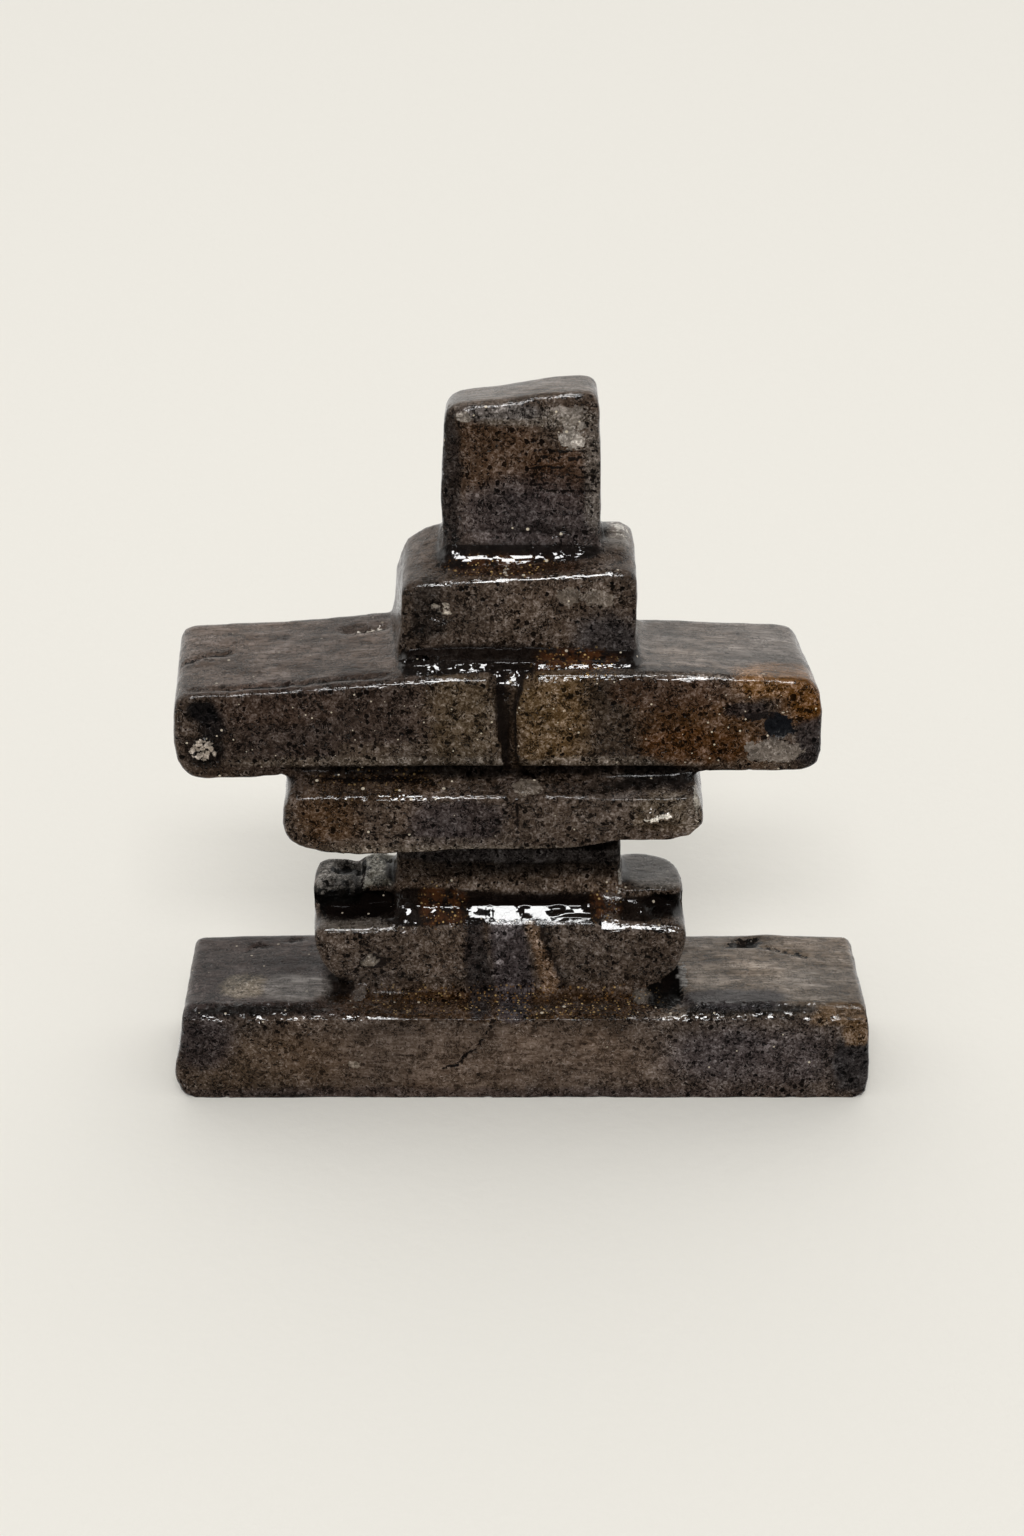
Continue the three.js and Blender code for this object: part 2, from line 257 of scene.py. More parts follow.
# Thick lacquer in the joints that face the front. Each joint has its ends across, its lowest and highest
# height, whether its planes meet in a hollow or a bulge, and its planes: a place (back, up), the tilt from
# level, and 1 where lacquer gathers on it.
JOINTS = (
    (-18.6, -8.4, 26.2, 30.6, "bulge", ((-3.0, 26.8, 59.0, 1), (-1.6, 28.9, 10.0, 1))),
    (-8.4, 10.8, 26.2, 30.6, "bulge", ((-3.1, 26.8, 49.6, 1), (-1.3, 28.9, 8.0, 1))),
    (10.8, 18.6, 26.2, 30.6, "bulge", ((-2.2, 26.8, 38.0, 1), (-1.0, 28.2, 10.0, 1))),
    (-10.6, 9.4, 82.2, 86.6, "hollow", ((1.0, 82.9, 53.0, 1), (2.5, 84.8, 84.0, 0))),
    (-16.6, 15.8, 69.0, 74.0, "bulge", ((-5.9, 69.6, 52.0, 1), (-5.0, 70.7, 10.0, 1))),
)
TOWARDS_CAMERA = np.array([0, -np.cos(np.radians(30)), np.sin(np.radians(30))])
FILL_LIMIT = 2.4
FILL_BACK = 4.0

# Gaps that stay dry, because no lacquer gathers in them: the middle and the reach
DRY_GAPS = (
    ((-3, -7.8, 54.8), (34, 1.8, 1.6)),
    ((0, -4.8, 16), (26, 2.6, 1.8)),
    ((2, 1.5, 43), (24, 4, 3)),
    ((8.6, -5.6, 70), (6.8, 1.3, 1.3)),
    ((2, 1.6, 32), (22, 2, 1.2)),
)


def fill_joints(places):
    """Pours lacquer into the joints: a point that lies below a bulge's two planes, or below either of a
    hollow's, moves towards the front until it meets them. Gives the places and the lacquer's thickness."""
    moved = np.zeros(len(places))
    poured = np.zeros(len(places))
    x, y, z = places.T
    for left, right, lowest, highest, kind, planes in JOINTS:
        ways = []
        for back, up, tilt, _ in planes:
            lean = np.radians(tilt)
            normal = np.array([0, -np.sin(lean), np.cos(lean)])
            ways.append(((np.array([0, back, up]) - places) @ normal) / (normal @ TOWARDS_CAMERA))
        first = (ways[0] > ways[1]) == (kind == "hollow")
        way = np.where(first, ways[0], ways[1])
        gathered = np.where(first, planes[0][3], planes[1][3])
        inside = between(left, right, x, 0.5) * between(lowest, highest, z, 0.3)
        way = np.maximum(way, 0) * inside * (way < FILL_LIMIT) * (y < FILL_BACK)
        poured = np.where(way > moved, way * gathered, poured)
        moved = np.maximum(moved, way)
    return places + moved[:, None] * TOWARDS_CAMERA, poured


# Edges worn to a narrow flat: the ends across, the edge's place (back, up) at each end, the flat's tilt
# from level and how deep it cuts
WORN_EDGES = (
    (-44.1, -4.6, (-7.2, 67.2), (-7.2, 69.5), 51.9, 0.1),
    (-4.6, 1.4, (-7.2, 69.5), (-7.2, 69.6), 50.0, 1.3),
    (1.4, 29.0, (-7.2, 69.7), (-7.2, 69.2), 51.9, 0.13),
    (-13.4, -9.6, (-2.3, 82.2), (-2.3, 82.4), 52.9, 0.05),
    (-9.6, 12.8, (-2.3, 82.4), (-2.3, 83.0), 52.9, 0.16),
    (-21.0, -13.0, (-11.3, 53.4), (-11.3, 53.5), 50.7, 0.16),
    (-13.0, 14.0, (-11.3, 53.5), (-11.3, 53.6), 50.7, 0.03),
    (-28.4, -17.4, (-3.5, 25.7), (-3.5, 26.1), 49.5, 0.12),
    (11.0, 15.0, (-3.5, 26.4), (-3.5, 26.3), 49.5, 0.3),
    (15.0, 23.3, (-3.5, 26.3), (-3.5, 26.0), 49.5, 0.18),
    (-46.8, -32.0, (-9.4, 14.8), (-9.4, 14.8), 48.7, 0.16),
    (-29.0, -15.0, (-9.4, 14.8), (-9.4, 14.8), 48.7, 0.12),
    (20.0, 45.8, (-9.4, 14.8), (-9.4, 14.8), 48.7, 0.14),
)
EDGE_REACH = 1.7
EDGE_SLICE = 1.0


def wear_edges(places):
    """Cuts each worn edge down to its flat. A point's height over the flat's slope is its product with the
    flat's normal. The limit is the highest point of each slice along the edge, averaged over five slices,
    less the depth and a little noise. What stands over it moves down to it. Gives the places and where
    they are worn, 0 to 1."""
    places = places.copy()
    worn = np.zeros(len(places))
    uneven = 0.02 * noise(places, 0.9, 35)
    for left, right, start, end, tilt, depth in WORN_EDGES:
        lean = np.radians(tilt)
        normal = np.array([0, -np.sin(lean), np.cos(lean)])
        x, y, z = places.T
        share = (x - left) / (right - left)
        from_edge = np.maximum(np.abs(y - start[0] - share * (end[0] - start[0])),
                               np.abs(z - start[1] - share * (end[1] - start[1])))
        near = np.flatnonzero((share > 0) & (share < 1) & (from_edge < EDGE_REACH))
        height = places[near] @ normal
        slices = ((x[near] - left) / EDGE_SLICE).astype(int)
        highest = np.full(slices.max() + 1, height.mean())
        np.maximum.at(highest, slices, height)
        even = np.convolve(np.pad(highest, 2, mode="edge"), np.full(5, 0.2), mode="valid")
        limit = np.interp(x[near], left + EDGE_SLICE * (0.5 + np.arange(len(even))), even)
        over = np.maximum(height - limit + depth + uneven[near], 0)
        places[near] -= over[:, None] * normal
        worn[near] = np.maximum(worn[near], soft_step(0.0, 0.03, over))
    return places, worn


# Carving

# The channel down the middle of the arms, by height: the heights, its middle across and half its width
CHANNEL_HEIGHTS = (54.8, 56.5, 60.0, 63.7, 66.0, 68.2, 70.5)
CHANNEL_MIDDLES = (-1.3, -1.6, -2.0, -2.2, -2.0, -1.8, -1.5)
CHANNEL_HALF_WIDTHS = (1.0, 1.1, 1.25, 1.45, 1.7, 2.3, 3.1)
CHANNEL_DEPTH = 0.6
CHANNEL_BACK = -5.0
RIDGE_HEIGHT = 0.35

# Saw grooves in the head's front: the places across that each runs through, and their heights
HEAD_GROOVE_PLACES = (1.5, 5.5, 10.8)
HEAD_GROOVE_HEIGHTS = (98.6, 97.5, 96.2, 95.0, 93.9, 92.7)

# Cracks on the fronts: across and up. Cracks on the tops: their height, then across and back.
FRONT_CRACKS = {
    "base slant": (
        (-4.0, 14.0), (-4.9, 12.3), (-5.5, 10.7), (-6.8, 8.8), (-8.2, 7.8), (-9.3, 6.0), (-11.6, 5.2)),
    "chest upright": ((-0.9, 54.4), (-0.8, 51.0), (-0.7, 47.2)),
    "chest foot": ((-22.0, 47.4), (-19.0, 46.4), (-15.0, 46.9)),
    "arms left slant": ((-31.5, 68.0), (-27.5, 64.6)),
    "shoulders left": ((-16.2, 73.4), (-14.6, 74.6), (-13.6, 74.9)),
}
TOP_CRACKS = {
    "base left arc": (15.1, ((-41.2, 6.7), (-40.2, 8.0), (-38.4, 7.9))),
    "base left back": (15.1, ((-35.1, 9.2), (-34.4, 9.6), (-33.2, 9.7))),
    "base right gash": (15.1, ((30.9, 8.1), (33.4, 9.2), (35.6, 9.6))),
    "base right long": (15.1, ((30.9, 8.1), (34.4, 7.8), (36.8, 7.3), (40.5, 6.2), (42.8, 5.2))),
    "left arm back": (69.4, ((-25.0, 6.8), (-21.5, 7.3), (-19.5, 7.1))),
    "left arm front": (68.2, ((-46.2, -5.6), (-40.0, -5.9), (-33.4, -5.8), (-26.0, -5.4), (-19.0, -5.6))),
    "left arm end": (67.6, ((-48.0, 1.4), (-45.0, 2.6), (-40.6, 3.0))),
    "chunk joint": (29.8, ((-23.3, -0.2), (-23.4, 3.6), (-23.2, 7.2))),
    "chunk side": (29.8, ((-18.9, 0.4), (-18.8, 7.6))),
    "right block side": (30.4, ((13.7, 0.4), (13.6, 9.6))),
}
CRACK_WIDTH = 0.55
CRACK_DEPTH = 0.35
CRACK_COLOUR = "#181310"
CRACK_DARK = 0.42

# How high the broad waves, the grit, the tops' long grain and the ripples in the lacquer stand, and how deep
# the pits are, in millimetres
WAVE_HEIGHT = 0.14
GRIT_HEIGHT = 0.13
GRAIN_HEIGHT = 0.1
RIPPLE_HEIGHT = 0.04
PIT_DEPTH = 0.2


def channel_share(places):
    """How far inside the channel each place lies, 0 to 1: by its distance across from the middle, as a
    share of half the width at its height."""
    x, y, z = places.T
    middle = np.interp(z, CHANNEL_HEIGHTS, CHANNEL_MIDDLES) + 0.3 * noise(places, 1.8, 75)
    half = np.interp(z, CHANNEL_HEIGHTS, CHANNEL_HALF_WIDTHS)
    inside = 1 - soft_step(0.75, 1.1, np.abs(x - middle) / half)
    return inside * between(54.8, 70.4, z, 0.3) * (y < CHANNEL_BACK)


def channel_ridge(places):
    """0 to 1 on the low ridge that runs down inside the channel, a little right of its middle."""
    x, _, z = places.T
    middle = np.interp(z, CHANNEL_HEIGHTS, CHANNEL_MIDDLES) + 0.25 + 0.3 * noise(places, 1.8, 75)
    half = np.interp(z, CHANNEL_HEIGHTS, CHANNEL_HALF_WIDTHS)
    return (1 - soft_step(0.15, 0.5, np.abs(x - middle) / half)) * channel_share(places)


def from_cracks(places, facing):
    """How far each place is from the nearest crack or saw groove of the face that it lies on, in mm."""
    x, y, z = places.T
    wobble = 0.3 * noise(places, 2.1, 71) + 0.2 * noise(places, 0.8, 73)
    front = np.full(len(places), 9.0)
    for line in FRONT_CRACKS.values():
        front = np.minimum(front, from_line(x + wobble, z, line))
    for height in HEAD_GROOVE_HEIGHTS:
        groove = list(zip(HEAD_GROOVE_PLACES, (height + 0.2, height, height + 0.1)))
        front = np.minimum(front, 0.04 + from_line(x, z + wobble, groove))
    top = np.full(len(places), 9.0)
    for height, line in TOP_CRACKS.values():
        off = np.maximum(np.abs(z - height) - 1.5, 0)
        top = np.minimum(top, off + from_line(x, y + wobble, line))
    front += 9 * (facing[:, 1] > -0.7)
    top += 9 * (facing[:, 2] < 0.7)
    return np.minimum(front, top)


def carve(places, facing, thickness, worn):
    """The height of the worn surface over the smooth one, in millimetres: broad waves, grit, pits in the
    bare stone and ripples in the lacquer, long grain on the tops, and the cracks, saw grooves and channel."""
    bare = 1 - soft_step(0.06, 0.4, thickness)
    top = soft_step(0.6, 0.95, facing[:, 2])
    waves = WAVE_HEIGHT * rough_noise(places, 7.0, 31, 2) * (1 - 0.8 * np.maximum(worn, 1 - bare))
    grit = GRIT_HEIGHT * rough_noise(places, 2.0, 41, 3) * bare * (1 - worn)
    grain = GRAIN_HEIGHT * rough_noise(places * (0.35, 1, 1), 2.6, 45, 2)
    distance, own = cells(places, 1.5, 51)
    pits = -PIT_DEPTH * (own < 0.35) * (1 - soft_step(0.08, 0.36, distance)) * (1 - worn)
    ripples = RIPPLE_HEIGHT * noise(places, 1.9, 63)
    height = waves + (1 - 0.7 * top) * grit + (1 - top) * bare * pits + (1 - bare) * ripples
    height += top * bare * grain
    height -= CRACK_DEPTH * (1 - soft_step(0, CRACK_WIDTH, from_cracks(places, facing)))
    channel = CHANNEL_DEPTH * channel_share(places) - RIDGE_HEIGHT * channel_ridge(places)
    height -= channel * (1 - 0.9 * worn)
    return height


# The base's top is a step lower in front of the hips and along the front than on the plates at both sides:
# the step's height, the plates' inner ends, and how far back the middle and the front strip reach
STEP_HEIGHT = 0.5
PLATE_ENDS = (-28.4, 23.4)
MIDDLE_BACK = -2.6
STRIP_BACK = -7.7


def lower_middle(places):
    """Lowers the base's top between the plates and in front of them, with a short smooth step."""
    x, y, z = places.T
    wobble = 0.3 * noise(places, 2.4, 77)
    left, right = PLATE_ENDS
    round_end = 0.5 * np.clip(-4.0 - y, 0, 4)
    middle = between(left - round_end, right + round_end, x + wobble, 0.3) * (y < MIDDLE_BACK)
    strip = 1 - soft_step(STRIP_BACK - 0.3, STRIP_BACK + 0.3, y + wobble)
    near = soft_step(14.0, 14.8, z) * (1 - soft_step(15.8, 16.2, z))
    lowered = places.copy()
    lowered[:, 2] -= STEP_HEIGHT * np.maximum(middle, strip) * near
    return lowered


# Single marks: the middle and the reach in millimetres, and the way and length that the stone is pushed
MARKS = (
    ((-25, 0.4, 27.7), (6.8, 1.8, 1.3), (0, 1.6, 0)),
    ((-25.4, 7.8, 29.4), (2.3, 1.8, 1.4), (0, 0, -1.2)),
    ((-24, 4.8, 29.6), (0.5, 4, 1.2), (0, 0, -0.7)),
    ((-27.4, 0.2, 29.2), (1.6, 1.2, 0.6), (0, 0.5, -0.4)),
    ((-21.3, 5.6, 30), (2, 5.2, 1.6), (0, 0, 0.5)),
    ((-19.8, 8.3, 30.4), (0.5, 1.2, 1.2), (0, 0, -0.7)),
    ((12.5, 8.2, 83.3), (2.2, 2.6, 1.6), (0, 0, 0.6)),
    ((-22, 3.4, 30.4), (0.5, 0.6, 1.2), (0, 0, -0.5)),
    ((-28.2, 3.2, 29.6), (0.6, 0.8, 1.2), (0, 0, -0.5)),
    ((-25.6, 3, 29.5), (0.5, 0.7, 1.2), (0, 0, -0.4)),
    ((22.2, 0.8, 27.5), (5, 1.8, 1.4), (0, 1.2, 0)),
    ((-3, -7.8, 54.7), (32, 1.1, 0.7), (0, 0.9, -0.2)),
    ((5.8, 3, 101.6), (2.4, 1.2, 4.2), (0, -0.35, 0)),
    ((-3, 3, 104.4), (5, 1.4, 1.2), (0, -0.25, 0)),
    ((-7.9, 3, 104), (1.2, 1.2, 1.2), (0, -0.4, 0)),
    ((-9.9, 3, 94), (1.5, 1.3, 9.5), (0, 0.4, 0)),
    ((7.5, -2.4, 79), (4.2, 1.2, 1.7), (0, -0.25, 0)),
    ((-11.2, -2.4, 77.1), (1.6, 1.2, 1.4), (0, 0.5, 0)),
    ((-22.2, 7.2, 69.9), (3.4, 0.9, 1.4), (0, 0, -0.45)),
    ((-43.4, -7.3, 63.4), (2.4, 1.4, 2.4), (0, 0.45, 0)),
    ((-44.3, -7.3, 58.1), (2.6, 1.4, 2.4), (0, 0.35, 0)),
    ((-44.5, -7.3, 59), (1.2, 1.2, 0.9), (0, -0.7, 0)),
    ((-42.9, -7.3, 58.4), (0.7, 1.2, 0.6), (0, -0.7, 0)),
    ((-45.3, -7.3, 57.1), (0.8, 1.2, 0.7), (0, -0.7, 0)),
    ((-43.3, -7.3, 57.2), (0.9, 1.2, 0.7), (0, -0.7, 0)),
    ((35.3, -7.3, 62.2), (2.6, 1.4, 1.8), (0, 0.5, 0)),
    ((35, -7.3, 58), (3.6, 1.4, 1.8), (0, -0.3, 0)),
    ((19.5, -11.6, 47.4), (5.5, 1.6, 0.9), (0, 0.9, 0)),
    ((18.9, -11.6, 49.9), (2.2, 1.6, 0.9), (0, -0.9, 0)),
    ((17, -9.4, 53.6), (7.5, 2.2, 1.3), (0, 0.3, -0.7)),
    ((24.2, -11.2, 54), (1, 2.4, 2.4), (0, -0.5, 0.5)),
    ((0.4, -10.6, 54), (2.6, 1.6, 1.2), (0, -0.5, 0.5)),
    ((-4.6, -2.2, 27.9), (0.3, 1.2, 0.9), (0, 0.25, 0.1)),
    ((0.5, -2.2, 27.9), (0.3, 1.2, 0.8), (0, 0.25, 0.1)),
    ((8.4, -2.6, 27.2), (3.4, 1.2, 0.2), (0, 0.2, 0.1)),
    ((5.2, -2, 28.2), (0.9, 1, 0.4), (0, 0.3, 0.1)),
    ((10.2, -2, 28.5), (1.2, 1.2, 0.5), (0, 0.3, 0.1)),
    ((-22.3, -3.6, 20.2), (1.8, 1.2, 1.4), (0, 0.25, 0)),
    ((-22.3, -3.6, 20.4), (1, 1.2, 0.8), (0, -0.7, 0)),
    ((-6.2, -3.6, 21.6), (1.8, 1.2, 5.2), (0, 0.3, 0)),
    ((-10.5, -3.4, 18), (4.5, 0.9, 1), (0, -0.3, 0.2)),
    ((47.3, -9.2, 13.6), (3.4, 2, 2.6), (0, 0.5, -0.3)),
    ((-23.6, -4.6, 15), (1.2, 1.1, 1.2), (0, -0.2, 0.6)),
    ((17.4, -4.8, 15), (1.5, 1.5, 1.2), (0, -0.2, 0.7)),
    ((34, 8.8, 15.2), (1.8, 0.8, 1), (0, 0, -0.5)),
)


def mark(places):
    """Pushes the stone in or out at each single mark."""
    total = np.zeros(places.shape)
    coarse, fine = wander(places, 501)
    for middle, reach, push in MARKS:
        rims = drawn_from(places, 0.5 * coarse, 0.5 * fine, reach)
        total += covered(rims, middle, reach, 0.25)[:, None] * np.array(push)
    return places + total


# Colour

GROUND = "#4d423a"
CHANNEL_COLOUR = "#30261e"

# The patches of colour in the stone: the middle and the reach in millimetres (across, back, up), the
# colour, and how strongly it covers what is below it. Some near-black patches are painted shade in
# crevices, gaps and under the chest, and one grey band on the waist is a painted reflection.
PATCHES_AND_PAINTED_SHADE = (
    ((-4, 3, 98.5), (6, 3, 5.5), "#4e3a2b", 0.7),
    ((5, 3, 94.5), (5, 3, 4), "#4b3526", 0.7),
    ((1, 3, 88), (10, 3, 6), "#423b3b", 0.8),
    ((-10.2, 3, 94), (1.7, 3, 11), "#241f1d", 0.85),
    ((9.8, 3, 95), (1.4, 3, 8), "#6d655e", 0.7),
    ((2, 3, 103.6), (8, 1.6, 1.2), "#6f675f", 0.7),
    ((-3, 2.5, 104.5), (5.5, 1.6, 1.1), "#6b6664", 0.8),
    ((11.5, -2.4, 73), (4.5, 3, 4), "#383536", 0.85),
    ((-13, -2.4, 77), (2.4, 3, 4.5), "#2c2622", 0.8),
    ((-12.7, -1, 83), (1.8, 1.6, 1), "#8b8177", 0.8),
    ((-27, -7.3, 62), (16, 4, 9), "#3f3530", 0.85),
    ((-34, -7.3, 65), (9, 3, 3), "#43342b", 0.5),
    ((-18, -7.3, 57), (8, 3, 2), "#54493f", 0.7),
    ((-8, -7.3, 62), (4.6, 3, 9), "#54483a", 0.85),
    ((4, -7.3, 62.5), (5.8, 3, 9), "#624f39", 0.85),
    ((13.6, -7.3, 63), (5.2, 3, 6.4), "#30271f", 0.85),
    ((-3, -7.2, 56.1), (37, 1.8, 0.8), "#655b51", 0.7),
    ((22.5, -5.4, 69.8), (7.4, 1.2, 1.4), "#2e241c", 0.9),
    ((25.5, -7.3, 61), (8.8, 3, 5.6), "#4d3725", 0.9),
    ((23.6, -7.3, 58.6), (7, 3, 2.6), "#573b26", 0.7),
    ((20, -7.3, 67), (8, 3, 2.4), "#46352a", 0.8),
    ((37, -6.5, 68.5), (8, 4.5, 2.4), "#6f5136", 1),
    ((40, -6.5, 65.8), (3.8, 4, 3.6), "#66482e", 1),
    ((31, -7.3, 64.4), (3.2, 2, 1.2), "#2b2422", 0.9),
    ((40.6, -7.3, 59.5), (2.8, 3, 3.8), "#302b2b", 0.85),
    ((-44.3, -7.3, 58), (2.9, 2, 2.6), "#1d1815", 0.9),
    ((-27, -11.6, 49.5), (4.5, 3, 4), "#4e3a28", 0.7),
    ((-9, -11.6, 49), (7, 3, 3.4), "#3b3434", 0.8),
    ((-14, -11.6, 45.3), (14, 3, 1.2), "#564c44", 0.7),
    ((-21, -9, 53.4), (9, 4, 1.5), "#382b20", 0.85),
    ((3, -9, 53.8), (14, 3, 1.2), "#3a3029", 0.8),
    # Painted shade: near-black in the gap under the right arm.
    ((18, -9, 54), (8, 3, 1.2), "#14100e", 0.95),
    ((20.5, -11.6, 50), (5, 2, 2.8), "#5b4f42", 0.8),
    # Painted shade: near-black in the crevice under the left chunk.
    ((-25, 1.4, 28.2), (7.4, 2.4, 1.4), "#0c0a09", 1),
    # Painted shade: near-black in the crevice under the right block.
    ((22.2, 1.2, 27.4), (5.2, 2.2, 1.7), "#0f0c0a", 1),
    # Painted shade: near-black in the gap under the arms.
    ((-3, -7.4, 54.7), (31, 1.4, 0.8), "#0f0c0a", 0.95),
    # Painted shade: near-black on the waist's front, in the shade under the chest.
    ((2, 2, 38.6), (20, 2, 6.9), "#0a0807", 1),
    # Painted reflection: a grey band at the top of the waist's front.
    ((0, 2, 35), (19.5, 1.5, 1.1), "#373332", 0.9),
    ((-1, 0.9, 30.6), (17.5, 1.6, 1.2), "#5c4f45", 1),
    ((-6, -11.4, 44.3), (22, 1.8, 0.8), "#665c52", 0.7),
    ((24, -10.8, 49.5), (1.4, 2.4, 3.2), "#6a6057", 0.7),
    ((-24.4, -2.2, 26.2), (5.6, 2, 0.8), "#5a534c", 0.9),
    ((2, -1.4, 28.6), (16, 1.2, 1), "#1c110b", 0.9),
    ((-36.5, -9.6, 6.6), (12, 3, 5), "#554639", 0.8),
    ((-2, -9.6, 7), (27, 3, 5.5), "#62544a", 0.8),
    ((34, -9.6, 7.5), (12, 3, 5.5), "#4b4342", 0.85),
    ((-46.6, -9.6, 10.4), (4.4, 3, 4.4), "#332d2e", 0.75),
    ((-39, -8.4, 14.9), (9.4, 0.8, 1), "#15110f", 0.9),
    ((35, -8.3, 14.9), (12, 0.8, 1), "#1b1715", 0.85),
    ((-2, -9.5, 0.9), (48, 2, 0.9), "#453b38", 0.7),
    ((-24, 11.6, 62), (14, 3, 6), "#594a3b", 0.7),
    ((26, 11.6, 61), (11, 3, 6), "#523a28", 0.7),
    ((1, 11.6, 93), (9, 3, 9), "#3d3737", 0.7),
    ((-2, 11.6, 76), (10, 3, 4), "#5a5048", 0.6),
    ((-14, 11.6, 8), (22, 3, 6), "#5d4f43", 0.7),
    ((34, 11.6, 8), (12, 3, 6), "#423c3b", 0.8),
    ((10, 11.6, 23), (9, 3, 5), "#4f3d2f", 0.7),
    ((-8, 11.6, 49), (16, 3, 4), "#3f3837", 0.7),
    # Painted shade: near-black in the corner where the hips meet the base on the left.
    ((-26.9, -2.6, 15.6), (2.2, 3.8, 1.8), "#16110e", 0.95),
    ((-44.2, -7.3, 64.2), (2.2, 2, 2), "#121112", 0.95),
    ((-42.9, -7.3, 61.8), (1.7, 2, 2), "#161415", 0.85),
    ((49, -9.6, 6), (3.2, 3, 5), "#2c2a2b", 0.85),
    ((46.4, -8.8, 14.1), (4, 3, 1.1), "#6e5a47", 0.95),
    ((49.2, -9.2, 11.8), (1.9, 3, 2.2), "#68533f", 0.9),
    ((-41.1, -2.8, 15.3), (3.2, 3, 1.5), "#7d7161", 0.75),
    ((-33.4, -3.2, 15.3), (4.8, 3.2, 1.2), "#6f6964", 0.85),
    ((-33, 3.4, 15.3), (7, 1.6, 1.2), "#332d2b", 0.85),
    ((34, -0.5, 15.3), (9, 4, 1.4), "#776b5f", 0.8),
    ((31, -6, 15.1), (8, 2.4, 1.2), "#3a3637", 0.85),
    ((-3, -6.8, 15), (25, 3.2, 1.4), "#3e2d1f", 0.9),
    ((-1, 0, 82.6), (9, 1.8, 1), "#2b1c12", 0.9),
)

# Streaks of other stone that slant down the hips: the line across and up, half the width at its top and
# at its foot, the colour and how strongly it covers. They stay before and below these places.
STREAKS_BACK = -2.2
STREAKS_TOP = 27.4
STREAKS = (
    ((-2.2, 26.8), (-1, 16.4), 2.5, 2.9, "#413a3a", 0.95),
    ((-6.9, 26.8), (-5.9, 16.4), 1.3, 2.2, "#2a2524", 0.9),
    # Painted highlight: the paler top of the wide grey streak, where the lacquer shines.
    ((-2.6, 27), (-2.4, 25.2), 1.6, 1.2, "#766e6e", 0.7),
    ((2.2, 26.8), (5.4, 16.4), 0.9, 0.8, "#1c1511", 0.9),
    ((1.3, 26.8), (4.1, 16.4), 0.7, 1.2, "#6b5645", 0.95),
)
